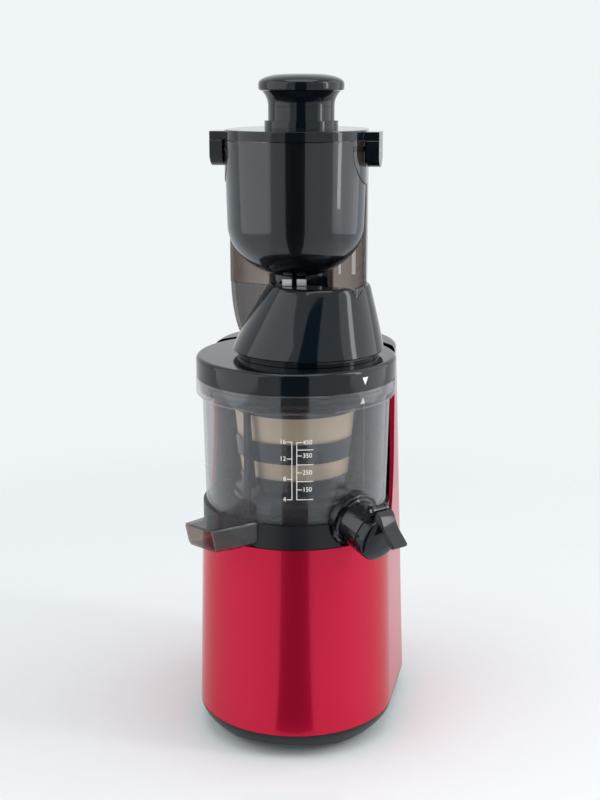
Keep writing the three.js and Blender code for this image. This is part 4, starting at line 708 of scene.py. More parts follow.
def make_juice_bowl():
    under = DRUM_LOW - RIM_STEP
    outside = [(under - 0.0026, DRUM_FOOT_Z), (under, DRUM_FOOT_Z)] + arc((under, DRUM_FOOT_Z), (
        DRUM_LOW, DRUM_FOOT_Z + RIM_STEP), 0, 4) + [
        (DRUM_LOW, COLLAR_TOP_Z), (DRUM_HIGH, RIM_Z - RIM_STEP)] + arc((DRUM_HIGH, RIM_Z - RIM_STEP), (
            RIM_RADIUS - 0.0008, RIM_Z), 1, 5) + [(RIM_RADIUS, RIM_Z + 0.001), (RIM_RADIUS, RIM_TOP_Z - 0.0004),
                                                 (RIM_RADIUS - 0.0004, RIM_TOP_Z)]
    inside = [(RIM_INNER, RIM_TOP_Z), (RIM_INNER, RIM_Z + RIM_STEP), (DRUM_HIGH - DRUM_WALL, RIM_Z + RIM_STEP),
              (DRUM_LOW - DRUM_WALL, DRUM_FLOOR_TOP_Z), (BOSS_RADIUS, DRUM_FLOOR_TOP_Z), (BOSS_RADIUS, BOSS_TOP_Z),
              (BOSS_RADIUS - DRUM_WALL, BOSS_TOP_Z), (BOSS_RADIUS - DRUM_WALL, DRUM_FLOOR_Z),
              (under - 0.0026, DRUM_FLOOR_Z)]
    bowl = lathe("juice_bowl_clear", outside + inside, closed=True)
    for middle in TRACK_AZIMUTHS:
        start, top = middle - TRACK_HALF_TURN, RIM_TOP_Z - TRACK_WIDTH
        face, proud = RIM_RADIUS - TRACK_STAND, RIM_RADIUS + TRACK_STAND
        track = sector("track", face, proud, top - TRACK_WIDTH, top, start, middle + TRACK_HALF_TURN)
        carve(track, sector("hook", face, proud, top - TRACK_HOOK, top, start, start + HOOK_TURN), operation="UNION")
        carve(bowl, track, operation="UNION")
    for gear in ("brush_gear_left", "brush_gear_right"):
        low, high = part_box(gear)
        x = (low.x + high.x) / 2 - AXIS.x
        carve(bowl, rod("pin", PIN_RADIUS, DRUM_FLOOR_Z + 0.001, 0.1967, 32, (x, 0)),
              rod("nub", PIN_RADIUS / 2, DRUM_FLOOR_TOP_Z, 0.1997, 32, (x, 0)), operation="UNION")
    bore = to_spout(rod("bore", SPOUT_RADIUS - DRUM_WALL, -0.008, 0.008, FINE_STEPS))
    above_floor = rod("above_floor", 2 * DRUM_LOW, DRUM_FLOOR_TOP_Z, RIM_Z)
    opening = block("opening", -PULP_HALF + PULP_WALL, PULP_HALF + PULP_FLARE - PULP_WALL, -DRUM_LOW - DRUM_WALL,
                    -DRUM_LOW + 3 * DRUM_WALL, DRUM_FLOOR_TOP_Z, PULP_Z + PULP_HEIGHT / 2 - PULP_WALL)
    carve(bore, above_floor, operation="INTERSECT")
    carve(bowl, bore, turn_about_axis(opening, PULP_AZIMUTH), plug_space(DRUM_FLOOR_Z, DRUM_FLOOR_TOP_Z))
    return complete(bowl, "drum", finish_of("clear"), ["juice_bowl"], smooth=25)


def plug_space(low, high):
    """The hole for the pulp plug, or the strainer's hole over it."""
    hole = rod("plug_hole", PLUG_RADIUS, low - OVERRUN, high + OVERRUN, 48, (0, -PLUG_DISTANCE))
    return turn_about_axis(hole, PULP_AZIMUTH)


def make_pulp_chute():
    """A rounded duct that widens on one side, open at its slanting mouth."""
    half, flare, height, wall = PULP_HALF, PULP_FLARE, PULP_HEIGHT, PULP_WALL
    near, far = -(DRUM_LOW - DRUM_WALL), -PULP_END
    bpy.ops.mesh.primitive_plane_add(size=1, location=place(flare / 2, near, PULP_Z), rotation=(QUARTER, 0, 0))
    duct = bpy.context.object
    duct.name = "pulp_chute_clear"
    duct.scale = (2 * half + flare, height, 1)
    set_in_place(duct)
    edit(duct)
    bpy.ops.mesh.select_all(action="SELECT")
    bpy.ops.mesh.bevel(offset=0.004, segments=6, affect="VERTICES")
    for share in (0.5, 1.0):
        bpy.ops.mesh.extrude_region_move(TRANSFORM_OT_translate={"value": (0, (far - near) / 2, 0)})
        narrow = (2 * half + flare * (1 - share)) / (2 * half + flare * (1.5 - share))
        bpy.ops.transform.resize(value=(narrow, 1, 1), center_override=place(-half, near, PULP_Z))
    bpy.ops.transform.rotate(value=-math.atan(0.005 / height), orient_axis="X", center_override=place(0, far, 0.2))
    bpy.ops.mesh.select_mode(type="FACE")
    bpy.ops.mesh.select_all(action="DESELECT")
    mesh = bmesh.from_edit_mesh(duct.data)
    for face in mesh.faces:
        face.select_set(len(face.verts) > 8)
    bmesh.update_edit_mesh(duct.data)
    bpy.ops.mesh.delete(type="FACE")
    bpy.ops.object.mode_set(mode="OBJECT")
    heal(duct)
    modify(duct, "SOLIDIFY", thickness=wall, offset=-1, use_even_offset=True)
    turn_about_axis(duct, PULP_AZIMUTH)
    carve(duct, rod("drum_space", DRUM_LOW + SEAT_GAP, 0.17, 0.21))
    return complete(duct, "drum", finish_of("duct"), ["pulp_chute"], bevel=0.0004)


def make_spout():
    flange, reach = 0.0225, SPOUT_REACH
    tube_piece = lathe("juice_spout_smoke", [
        (SPOUT_RADIUS - DRUM_WALL, -0.003), (flange, -0.003), (flange, 0.003), (flange - 0.001, 0.004),
        (SPOUT_RADIUS + 0.001, 0.0042), (SPOUT_RADIUS, 0.0055), (SPOUT_RADIUS, reach - 0.0004),
        (SPOUT_RADIUS - 0.0004, reach), (SPOUT_RADIUS - DRUM_WALL, reach)], FINE_STEPS, closed=True)
    ears = []
    for side in (-1, 1):
        x0, x1 = sorted((side * 0.005, side * 0.0076))
        ear = block("ear", x0, x1, SPOUT_RADIUS - DRUM_WALL, 0.0225, reach - 0.004, reach)
        bpy.ops.mesh.primitive_cylinder_add(
            vertices=32, radius=0.004, depth=0.0026, location=place((x0 + x1) / 2, 0.0225, reach),
            rotation=(0, QUARTER, 0))
        carve(ear, set_in_place(bpy.context.object), operation="UNION")
        ears.append(ear)
    carve(tube_piece, *ears, operation="UNION")
    to_spout(tube_piece)
    carve(tube_piece, rod("drum_space", DRUM_LOW + SEAT_GAP, 0.15, 0.25))
    return complete(tube_piece, "drum", finish_of("gate"), ["juice_spout"], bevel=0.0003)


def make_spout_cap():
    face, depth, dome = SPOUT_REACH + SEAT_GAP, 0.013, 0.006
    radius = SPOUT_RADIUS
    side_z = face + depth - dome
    profile = [(0.0125, face - 0.004), (0.0125, face), (radius - 0.0006, face), (radius, face + 0.0006),
               (radius, side_z)] + arc((radius, side_z), (0.004, face + depth), 1, 8)
    cap = lathe("spout_cap_gloss", profile, FINE_STEPS)
    start, length, half = face + 0.0041, 0.0266, 0.0075
    outline = [(0.74, 0), (1.31, 0), (1.36, 0.11), (1.32, 0.18), (1.2, 0.27), (1.06, 0.34), (0.93, 0.42), (0.8, 0.52),
               (0.71, 0.62), (0.62, 0.74), (0.5, 0.89), (0.43, 0.98), (0.37, 1.0), (0.28, 0.98), (0.25, 0.94),
               (0.3, 0.84), (0.4, 0.71), (0.52, 0.6), (0.64, 0.5), (0.71, 0.42), (0.74, 0.34), (0.74, 0.2)]
    grip = prism("grip", [(radius * out, start + length * along) for out, along in outline], -half, half)
    modify(grip, "BEVEL", width=0.0011, segments=3, limit_method="ANGLE", angle_limit=math.radians(50))
    knuckle = block("knuckle", -0.0045, 0.0045, radius * 0.7, 0.0225, face, face + 0.0061)
    bpy.ops.mesh.primitive_cylinder_add(
        vertices=32, radius=0.0035, depth=0.009, location=place(0, 0.0225, SPOUT_REACH), rotation=(0, QUARTER, 0))
    barrel = set_in_place(bpy.context.object)
    carve(knuckle, barrel, operation="UNION")
    carve(cap, grip, knuckle, operation="UNION")
    to_spout(cap)
    return complete(cap, "spout_cap", finish_of("gloss"), ["juice_cap"], bevel=0.0003)


def mesh_radius(z):
    return MESH_LOW + (MESH_HIGH - MESH_LOW) * (z - MESH_LOW_Z) / (MESH_HIGH_Z - MESH_LOW_Z)


def make_strainer():
    wall = STRAINER_WALL
    base_z, base_top_z = 0.197, 0.200
    out = lambda z: (mesh_radius(z) + SEAT_GAP + wall, z)
    within = lambda z: (mesh_radius(z) + SEAT_GAP, z)
    cage = lathe("strainer_frame_smoke", [
        (0.021, base_z), (STRAINER_BASE, base_z), (STRAINER_BASE, 0.204), (STRAINER_BASE - 0.0016, 0.2055),
        (STRAINER_BASE - 0.0016, 0.2105), out(MESH_LOW_Z), out(MESH_HIGH_Z), (STRAINER_TOP, MESH_HIGH_Z),
        (STRAINER_TOP, RIM_Z), (STRAINER_TOP - wall, RIM_Z), (STRAINER_TOP - wall, MESH_HIGH_Z + SEAT_GAP),
        within(MESH_HIGH_Z), within(MESH_LOW_Z), (MESH_LOW - wall, MESH_LOW_Z - SEAT_GAP),
        (MESH_LOW - wall, base_top_z), (0.021, base_top_z)], closed=True)
    for low, high in (WINDOW_LOW, WINDOW_HIGH):
        band = tube("band", STRAINER_TOP + OVERRUN, MESH_LOW - 2 * wall, low, high)
        ribs = [turn_about_axis(block("rib", -0.0025, 0.0025, -STRAINER_TOP - 2 * OVERRUN, -0.03, low - OVERRUN,
                                      high + OVERRUN), math.radians(azimuth)) for azimuth in RIB_AZIMUTHS]
        carve(band, *ribs)
        carve(cage, band)
    carve(cage, plug_space(base_z, base_top_z))
    complete(cage, "drum", finish_of("strainer"), ["strainer_frame"], bevel=0.0002)
    mesh = lathe("strainer_mesh_steel", [
        (mesh_radius(MESH_LOW_Z) - 0.0008, MESH_LOW_Z), (mesh_radius(MESH_LOW_Z), MESH_LOW_Z),
        (mesh_radius(MESH_HIGH_Z), MESH_HIGH_Z), (mesh_radius(MESH_HIGH_Z) - 0.0008, MESH_HIGH_Z)], closed=True)
    return complete(mesh, "drum", finish_of("mesh"), ["strainer_mesh"])


def make_drum_lid():
    plate_z, collar, skirt = LID_TOP_Z - 0.004, 0.0522, 0.003
    inner = 0.0784
    rounding = [(LID_RADIUS - LID_ROUND * (1 - math.cos(i / 6 * QUARTER)),
                 LID_TOP_Z - LID_ROUND * (1 - math.sin(i / 6 * QUARTER))) for i in range(7)]
    lid = lathe("drum_lid_gloss", [
        (0.02, plate_z), (collar - skirt, plate_z), (collar - skirt, RIM_Z + RUN_GAP), (collar, RIM_Z + RUN_GAP),
        (collar, plate_z), (inner - skirt, plate_z), (inner - skirt, RIM_Z + 0.0058), (inner, RIM_Z + 0.0058),
        (inner, RIM_TOP_Z + SEAT_GAP), (LID_RADIUS - 0.0004, RIM_TOP_Z + SEAT_GAP),
        (LID_RADIUS, RIM_TOP_Z + 0.0007)] + rounding, closed=False)
    carve(lid, rod("feed_hole", 0.027, plate_z - OVERRUN, LID_TOP_Z + OVERRUN, FINE_STEPS, (0, 0.022)))
    hub = rod("hub", 0.010, 0.297, LID_TOP_Z - 0.001, FINE_STEPS)
    bridge = block("bridge", -0.005, 0.005, -collar + skirt, 0, 0.297, LID_TOP_Z - 0.001)
    carve(lid, hub, bridge, operation="UNION")
    carve(lid, rod("bush_space", 0.0078, 0.29, LID_TOP_Z - 0.002, FINE_STEPS))
    return complete(lid, "lid", finish_of("gloss"), ["drum_lid"])


def cone_rings(inset, low, high, count=14):
    """The feed cone's circles: it leans back and to the right as it narrows."""
    rings = []
    for i in range(count + 1):
        share = i / count
        x, y, radius = (foot + (head - foot) * share ** 1.1 for foot, head in zip(CONE_FOOT, CONE_HEAD))
        rings.append((low + (high - low) * share, [(x, y, radius - inset)]))
    return rings


def chute_rings(inset, low, high, count=10):
    """The feed chute's two circles, from the round foot behind the cone to the hopper's plan at the shoulder."""
    rings = []
    for i in range(count + 1):
        z = low + (high - low) * i / count
        share = min(1.0, max(0.0, (SHOULDER_Z - z) / (SHOULDER_Z - LID_TOP_Z)))
        ease = share * share
        circles = [(CHUTE_FOOT[0] * ease, y + (CHUTE_FOOT[1] - y) * ease, radius + (CHUTE_FOOT[2] - radius) * ease)
                   for x, y, radius in hopper_plan(0)]
        rings.append((z, [(x, y, radius - inset) for x, y, radius in circles]))
    return rings


def chute_front(name, inset):
    """The space behind the chute's sloping front wall."""
    wall = block(name, -0.13, 0.13, -0.007 + inset, 0.13, LID_TOP_Z - OVERRUN, SHOULDER_Z + OVERRUN)
    wall.matrix_world = Matrix.Translation(place(0, -0.007, 0)) @ Matrix.Rotation(
        -math.atan(0.015 / CHUTE_RADIUS), 4, "Z") @ Matrix.Translation(-place(0, -0.007, 0))
    return set_in_place(wall)


def make_feed_cone():
    foot_z = LID_TOP_Z + SEAT_GAP
    edge_z = LID_TOP_Z + 0.006
    low = [(foot_z, [(0.0103, -0.0022, 0.057)]), (edge_z - 0.0012, [(0.0103, -0.0022, 0.057)]),
           (edge_z - 0.0008, [(0.0103, -0.0022, 0.0605)])]
    rings = cone_rings(0, edge_z, SHOULDER_Z - 0.002)
    x, y, radius = rings[-1][1][0]
    top = [(SHOULDER_Z - 0.0006, [(x, y, radius - 0.0012)]), (SHOULDER_Z, [(x, y, radius - 0.003)])]
    cone = ring_solid("feed_cone_gloss", low + rings + top)
    space = ring_solid("chute_space", chute_rings(-SEAT_GAP, foot_z - OVERRUN, SHOULDER_Z + OVERRUN))
    carve(space, chute_front("front", -SEAT_GAP), operation="INTERSECT")
    carve(cone, space)
    return complete(cone, "lid", finish_of("gloss"), ["feed_cone"], bevel=0.0004)


def hopper_plan(inset):
    return [(0, 0, GATE_RADIUS - inset), (0, CHUTE_OFFSET, CHUTE_RADIUS - inset)]


def make_feed_chute():
    foot_z = LID_TOP_Z + SEAT_GAP
    lower = ring_solid("feed_chute_smoke", chute_rings(0, foot_z, SHOULDER_Z))
    carve(lower, chute_front("front", 0), operation="INTERSECT")
    hollow = ring_solid("hollow", chute_rings(HOPPER_WALL, foot_z - OVERRUN, SHOULDER_Z + OVERRUN))
    carve(hollow, chute_front("front", HOPPER_WALL), operation="INTERSECT")
    upper = ring_solid("upper", [(SHOULDER_Z - 0.001, hopper_plan(0)), (HOPPER_Z, hopper_plan(0))])
    fixed = block("fixed", -0.13, 0.13, GATE_EDGE + 0.001, 0.13, SHOULDER_Z - OVERRUN, HOPPER_Z)
    carve(fixed, cross_rod("pivot_space", SPLIT_RADIUS, 0.13, 0, PIVOT_Z), operation="UNION")
    carve(upper, fixed, operation="INTERSECT")
    carve(lower, upper, operation="UNION")
    upper_hollow = ring_solid("upper_hollow", [(SHOULDER_Z - OVERRUN, hopper_plan(HOPPER_WALL)),
                                               (HOPPER_Z + OVERRUN, hopper_plan(HOPPER_WALL))])
    carve(lower, hollow, upper_hollow)
    return complete(lower, "lid", finish_of("chute"), bevel=0.0004)


def make_ears():
    """The two hinge ears of the hopper, with their round undersides and the pin bores."""
    made = []
    for name, side in (("left", -1), ("right", 1)):
        x0, x1 = sorted((side * (GATE_RADIUS + 0.0008), side * (GATE_RADIUS + 0.0108)))
        ear = block(f"hopper_ear_{name}", x0, x1, -0.012, 0.012, 0.4695, HOPPER_Z + 0.8 * SEAT_GAP)
        carve(ear, cross_rod("round", PIVOT_Z - 0.4695, 0.13, 0, PIVOT_Z), operation="INTERSECT")
        inner0, inner1 = sorted((side * (GATE_RADIUS - HOPPER_WALL), side * (GATE_RADIUS + 0.0018)))
        carve(ear, block("web", inner0, inner1, GATE_EDGE + 0.001, 0.012, 0.4715, HOPPER_Z), operation="UNION")
        carve(ear, cross_rod("bore", 0.0028, 0.13, 0, PIVOT_Z))
        made.append(complete(ear, "lid", finish_of("gloss"), bevel=0.0008, segments=3))
    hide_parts("feed_chute")
    return made


def make_hopper_lid():
    plate = ring_solid("hopper_lid_gloss", [
        (HOPPER_Z + SEAT_GAP, hopper_plan(0)), (HOPPER_TOP_Z - 0.0015, hopper_plan(0)),
        (HOPPER_TOP_Z - 0.0004, hopper_plan(0.0004)), (HOPPER_TOP_Z, hopper_plan(0.0015))])
    fixed = block("fixed", -0.13, 0.13, 0, 0.13, HOPPER_Z, HOPPER_TOP_Z + OVERRUN)
    carve(fixed, cross_rod("pivot_space", SPLIT_RADIUS, 0.13, 0, PIVOT_Z), operation="UNION")
    gate = ring_solid("gate_top_gloss", [
        (HOPPER_Z + SEAT_GAP, hopper_plan(0)), (HOPPER_TOP_Z - 0.0015, hopper_plan(0)),
        (HOPPER_TOP_Z - 0.0004, hopper_plan(0.0004)), (HOPPER_TOP_Z, hopper_plan(0.0015))])
    carve(plate, fixed, operation="INTERSECT")
    collar = rod("collar", PUSHER_RADIUS + RUN_GAP + 0.0025, HOPPER_TOP_Z - 0.001, HOPPER_TOP_Z + 0.006,
                 FINE_STEPS, (0, CHUTE_OFFSET))
    carve(plate, collar, operation="UNION")
    for side in (-1, 1):
        x0, x1 = sorted((side * (GATE_RADIUS - HOPPER_WALL), side * (GATE_RADIUS + 0.0108)))
        carve(plate, block("ear_top", x0, x1, -0.012, 0.012, HOPPER_Z + SEAT_GAP, 0.4965), operation="UNION")
    carve(plate, rod("pusher_hole", PUSHER_RADIUS + RUN_GAP, HOPPER_Z - OVERRUN, HOPPER_TOP_Z + 0.01, FINE_STEPS,
                     (0, CHUTE_OFFSET)))
    carve(gate, block("rear", -0.13, 0.13, 0, 0.13, HOPPER_Z - OVERRUN, HOPPER_TOP_Z + OVERRUN),
          cross_rod("pivot_space", SPLIT_RADIUS + SEAT_GAP, 0.13, 0, PIVOT_Z))
    complete(gate, "gate", finish_of("gloss"), ["gate_top"], bevel=0.0005)
    return complete(plate, "lid", finish_of("gloss"), ["hopper_lid"], bevel=0.0005)


def bowl_rings(inset, count=14):
    """The loading bowl: straight sides that close below in a round end."""
    draft = 0.0015
    top = HOPPER_Z - SEAT_GAP + (OVERRUN if inset else 0)
    rings = [(top, hopper_plan(inset)), (GATE_STRAIGHT_Z, hopper_plan(inset + draft))]
    for i in range(1, count + 1):
        turn = i / count * QUARTER * 0.98
        width = math.cos(turn) * (1 - (inset + draft) / GATE_RADIUS)
        z = GATE_STRAIGHT_Z - (GATE_STRAIGHT_Z - GATE_BOTTOM_Z - inset) * math.sin(turn)
        rings.append((z, [(0, 0, GATE_RADIUS * width), (0, CHUTE_OFFSET * width, CHUTE_RADIUS * width)]))
    return rings


def make_flip_gate():
    bowl = ring_solid("flip_gate_smoke", bowl_rings(0))
    carve(bowl, ring_solid("hollow", bowl_rings(HOPPER_WALL)),
          rod("pusher_path", PUSHER_RADIUS + 4 * RUN_GAP, GATE_BOTTOM_Z - OVERRUN, HOPPER_Z, FINE_STEPS,
              (0, CHUTE_OFFSET)),
          block("rear", -0.13, 0.13, GATE_EDGE, 0.13, GATE_BOTTOM_Z - OVERRUN, HOPPER_Z + OVERRUN),
          cross_rod("pivot_space", SPLIT_RADIUS + SEAT_GAP, 0.13, 0, PIVOT_Z))
    return complete(bowl, "gate", finish_of("gate"), ["flip_gate"], bevel=0.0003)


def make_pusher():
    """The straight shaft, and the head with the neck that narrows to it."""
    centre = (0, CHUTE_OFFSET)
    head_z = PUSHER_TOP_Z - 0.013
    neck_z = head_z - NECK_DEPTH
    shaft = lathe("pusher_shaft_gloss", [
        (PUSHER_RADIUS - 0.002, 0.345), (PUSHER_RADIUS - 0.0006, 0.3456), (PUSHER_RADIUS, 0.347),
        (PUSHER_RADIUS, neck_z - NECK_SEAM), (PUSHER_RADIUS - 0.0004, neck_z - NECK_SEAM / 2)],
                  FINE_STEPS * 2, centre)
    complete(shaft, "pusher", finish_of("gloss"), ["pusher_shaft"])
    rounding = arc((PUSHER_HEAD, head_z + 0.0055), (0.012, PUSHER_TOP_Z), 1, 12)
    neck = [(PUSHER_RADIUS + NECK_FLARE * (i / 10) ** 2.2, neck_z + NECK_DEPTH * i / 10) for i in range(11)]
    head = lathe("pusher_head_gloss", [(PUSHER_RADIUS - 0.0004, neck_z)] + neck + [
        (PUSHER_HEAD - 0.0018, head_z), (PUSHER_HEAD - 0.0005, head_z + 0.0006),
        (PUSHER_HEAD, head_z + 0.002), (PUSHER_HEAD, head_z + 0.0055)] + rounding, FINE_STEPS * 2, centre)
    return complete(head, "pusher", finish_of("gloss"), ["pusher_head"])


def scale_bar(x0, x1, z0, z1):
    """A flat white bar just before the drum's front."""
    bpy.ops.mesh.primitive_plane_add(size=1, location=place((x0 + x1) / 2, PRINT_Y, (z0 + z1) / 2),
                                     rotation=(QUARTER, 0, 0))
    bar = bpy.context.object
    bar.name = "bar"
    bar.scale = (x1 - x0, z1 - z0, 1)
    return set_in_place(bar)


def arrow(low, high, points_up):
    """A flat white triangle between two heights."""
    mark = scale_bar(-ARROW_HALF, ARROW_HALF, low, high)
    edit(mark)
    tip = high if points_up else low
    pick(mark, lambda p: abs(p.z - tip) < SEAT_GAP)
    bpy.ops.mesh.merge(type="CENTER")
    bpy.ops.object.mode_set(mode="OBJECT")
    return mark


def scale_number(number, z, x, side):
    """A number whose left or right edge stands at x, centred on a height."""
    bpy.ops.object.text_add(location=place(x, PRINT_Y, z), rotation=(QUARTER, 0, 0))
    label = bpy.context.object
    label.data.body = str(number)
    label.data.size = DIGIT_SIZE
    label.data.align_x = side
    label.data.align_y = "CENTER"
    label.data.resolution_u = 4
    bpy.ops.object.convert(target="MESH")
    return set_in_place(bpy.context.object)


def wrap_print(name, marks, azimuth, target, body, rise=0.00008):
    """Joins flat marks, lays them on a turned surface and gives them the thickness of ink."""
    clear_selection()
    for mark in marks:
        mark.select_set(True)
    bpy.context.view_layer.objects.active = marks[0]
    if len(marks) > 1:
        bpy.ops.object.join()
    sheet = bpy.context.object
    sheet.name = name
    edit(sheet)
    bpy.ops.mesh.select_all(action="SELECT")
    bpy.ops.mesh.quads_convert_to_tris()
    bpy.ops.mesh.subdivide(number_cuts=2)
    bpy.ops.object.mode_set(mode="OBJECT")
    turn_about_axis(sheet, azimuth)
    modify(sheet, "SHRINKWRAP", target=target, wrap_method="NEAREST_SURFACEPOINT", wrap_mode="OUTSIDE_SURFACE",
           offset=rise)
    modify(sheet, "SOLIDIFY", thickness=rise / 2, offset=1.0)
    sheet.data.materials.clear()
    sheet.data.materials.append(finish_of("ink"))
    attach(sheet, body)
    return sheet


def make_print():
    """The drum's volume scale in two units, and the two locking arrows."""
    drum = bpy.data.objects["juice_bowl_clear"]
    half = LINE_WIDTH / 2
    low, high = SCALE_HEIGHTS
    marks = [scale_bar(x - half, x + half, low, high) for x in (OUNCE_X, MILLILITRE_X)]
    for number, z in OUNCE_MARKS:
        marks.append(scale_bar(OUNCE_X - SHORT_TICK, OUNCE_X, z - half, z + half))
        marks.append(scale_number(number, z, OUNCE_X - SHORT_TICK - LINE_WIDTH, "RIGHT"))
    for number, z in MILLILITRE_MARKS:
        marks.append(scale_bar(MILLILITRE_X, MILLILITRE_X + SHORT_TICK, z - half, z + half))
        marks.append(scale_number(number, z, MILLILITRE_X + SHORT_TICK + LINE_WIDTH, "LEFT"))
    for z in LONG_TICK_HEIGHTS:
        marks.append(scale_bar(MILLILITRE_X, MILLILITRE_X + LONG_TICK, z - half, z + half))
    wrap_print("drum_scale_print", marks, SCALE_AZIMUTH, drum, "drum")
    lid = bpy.data.objects["drum_lid_gloss"]
    wrap_print("lid_arrow_print", [arrow(0.3075, 0.3135, False)], ARROW_AZIMUTH, lid, "lid")
    wrap_print("rim_arrow_print", [arrow(0.2914, 0.2969, True)], ARROW_AZIMUTH, drum, "drum")


NODE_FINISHES = {
    "satin": ("column_panel", "switch_bezel", "gearbox_case", "gearbox_cover", "cooling_fan", "brush_carrier"),
    "gloss": ("rocker_switch",),
    "rubber": ("foot_front_left", "foot_front_right", "foot_rear_left", "foot_rear_right", "mains_gland",
               "shaft_seal", "cap_seal", "lid_seal", "pulp_plug", "bowl_shaft_seal"),
    "steel": ("motor_stator", "motor_bracket_lower", "motor_bracket_upper", "motor_bearing_lower",
              "motor_bearing_upper", "output_bearing", "idler_shaft", "run_capacitor", "motor_rotor", "drive_shaft",
              "gate_catch_left", "gate_catch_right", "gate_pin_left", "gate_pin_right", "cap_pin"),
    "copper": ("stator_windings",),
    "board": ("control_board",),
    "nylon": ("intermediate_gear", "output_gear", "brush_gear_left", "brush_gear_right", "lid_bush"),
    "auger": ("auger",),
}


def dress_nodes():
    """Gives every CAD node that stays its finish."""
    for finish, nodes in NODE_FINISHES.items():
        for node in nodes:
            shape = bpy.data.objects[node]
            shape.data.materials.clear()
            shape.data.materials.append(finish_of(finish))


def make_finishes(colours):
    FINISHES.update({
        "red": crimson_paint(tuple(colours.red)),
        "gloss": gloss_black(tuple(colours.black)),
        "satin": satin_black(tuple(colours.satin)),
        "rubber": black_rubber(),
        "steel": turned_metal("bright_steel", (0.62, 0.62, 0.63, 1), 0.22),
        "copper": turned_metal("enamelled_copper", (0.62, 0.24, 0.09, 1), 0.3),
        "board": moulded("green_board", (0.02, 0.16, 0.06, 1)),
        "nylon": moulded("white_nylon", (0.74, 0.71, 0.62, 1)),
        "auger": moulded("auger_black", (0.02, 0.019, 0.019, 1)),
        "mesh": perforated_steel(tuple(colours.mesh)),
        "clear": smoke("drum_clear", colours.clear_tint, (0.46, 0.42, 0.43, 1), 0.015, edge_haze=0.26),
        "gate": smoke("gate_smoke", colours.dark_tint, (0.006, 0.009, 0.012, 1), 0.35),
        "chute": smoke("chute_smoke", colours.chute_tint, (0.10, 0.085, 0.08, 1), 0.12),
        "duct": smoke("duct_smoke", colours.duct_tint, (0.16, 0.13, 0.12, 1), 0.12),
        "strainer": smoke("strainer_smoke", (0.3, 0.29, 0.29, 1), (0.04, 0.045, 0.052, 1), 0.6),
        "ink": white_ink(),
    })


class JuicerStage(bpy.types.PropertyGroup):
    """The photographer's stage."""

    ambient: bpy.props.FloatProperty(
        name="Ambient", description="Strength of the pale surround", default=0.5, min=0, max=2)
    left_lamp: bpy.props.FloatProperty(
        name="Left softbox", description="Power of the softbox on the left", default=16.0, min=0, unit="POWER")
    right_lamp: bpy.props.FloatProperty(
        name="Right softbox", description="Power of the softbox on the right", default=16.0, min=0, unit="POWER")
    strip_lamp: bpy.props.FloatProperty(
        name="Right strip", description="Power of the narrow lamp on the right", default=3.5, min=0, unit="POWER")
    floor_radius: bpy.props.FloatProperty(
        name="Floor radius", description="Radius of the pale floor", default=3.0, min=1, unit="LENGTH")
    lens: bpy.props.FloatProperty(
        name="Lens", description="Focal length of the camera in millimetres", default=58.5, min=10, max=300)


def make_world(colour, ambient):
    """Pale for the camera, mirrors and clear plastic, and softer for the light that it gives."""
    world = bpy.data.worlds.new("studio")
    bpy.context.scene.world = world
    world.use_nodes = True
    nodes, links = world.node_tree.nodes, world.node_tree.links
    nodes.clear()
    path = nodes.new("ShaderNodeLightPath")
    seen = nodes.new("ShaderNodeMath")
    seen.operation = "MAXIMUM"
    mirrored = nodes.new("ShaderNodeMath")
    mirrored.operation = "MAXIMUM"
    links.new(path.outputs["Is Camera Ray"], seen.inputs[0])
    links.new(path.outputs["Is Transmission Ray"], seen.inputs[1])
    links.new(seen.outputs[0], mirrored.inputs[0])
    links.new(path.outputs["Is Glossy Ray"], mirrored.inputs[1])
    pale = nodes.new("ShaderNodeBackground")
    pale.inputs["Color"].default_value = colour
    soft = nodes.new("ShaderNodeBackground")
    soft.inputs["Color"].default_value = colour
    soft.inputs["Strength"].default_value = ambient
    mix = nodes.new("ShaderNodeMixShader")
    links.new(mirrored.outputs[0], mix.inputs[0])
    links.new(soft.outputs[0], mix.inputs[1])
    links.new(pale.outputs[0], mix.inputs[2])
    out = nodes.new("ShaderNodeOutputWorld")
    links.new(mix.outputs[0], out.inputs["Surface"])


def floor_finish(colour, radius):
    """The floor's own tone where shadows fall, fading into the backdrop at its edge."""
    f = Finish("floor_paper")
    centred = f.node("Mapping", sockets={"Vector": f.place(), "Location": (-AXIS.x, -AXIS.y, 0)})
    reach = f.node("VectorMath", {"operation": "LENGTH"}, {0: centred}, out="Value")
    fade = f.node("MapRange", {"interpolation_type": "SMOOTHSTEP"},
                  {"Value": reach, "From Min": radius * 0.09, "From Max": radius * 0.34})
    grain = f.noise(60, detail=2.0)
    paper = f.shader(Base_Color=f.blend(grain, tone(colour, 1.03), tone(colour, 1.05)), Roughness=0.6)
    clear = f.node("BsdfTransparent")
    return f.done(f.node("MixShader", sockets={0: fade, 1: paper, 2: clear}))


def softbox(name, azimuth, height, distance, width, tall, power, colour=(1, 1, 1)):
    """An area lamp that faces the juicer's middle from an azimuth."""
    spot = place(distance * math.sin(azimuth), -distance * math.cos(azimuth), height)
    bpy.ops.object.light_add(type="AREA", location=spot)
    lamp = bpy.context.object
    lamp.name = name
    lamp.data.shape = "RECTANGLE"
    lamp.data.size, lamp.data.size_y = width, tall
    lamp.data.energy = power
    lamp.data.color = colour
    lamp.rotation_euler = (place(0, 0, 0.28) - spot).to_track_quat("-Z", "Y").to_euler()
    return lamp


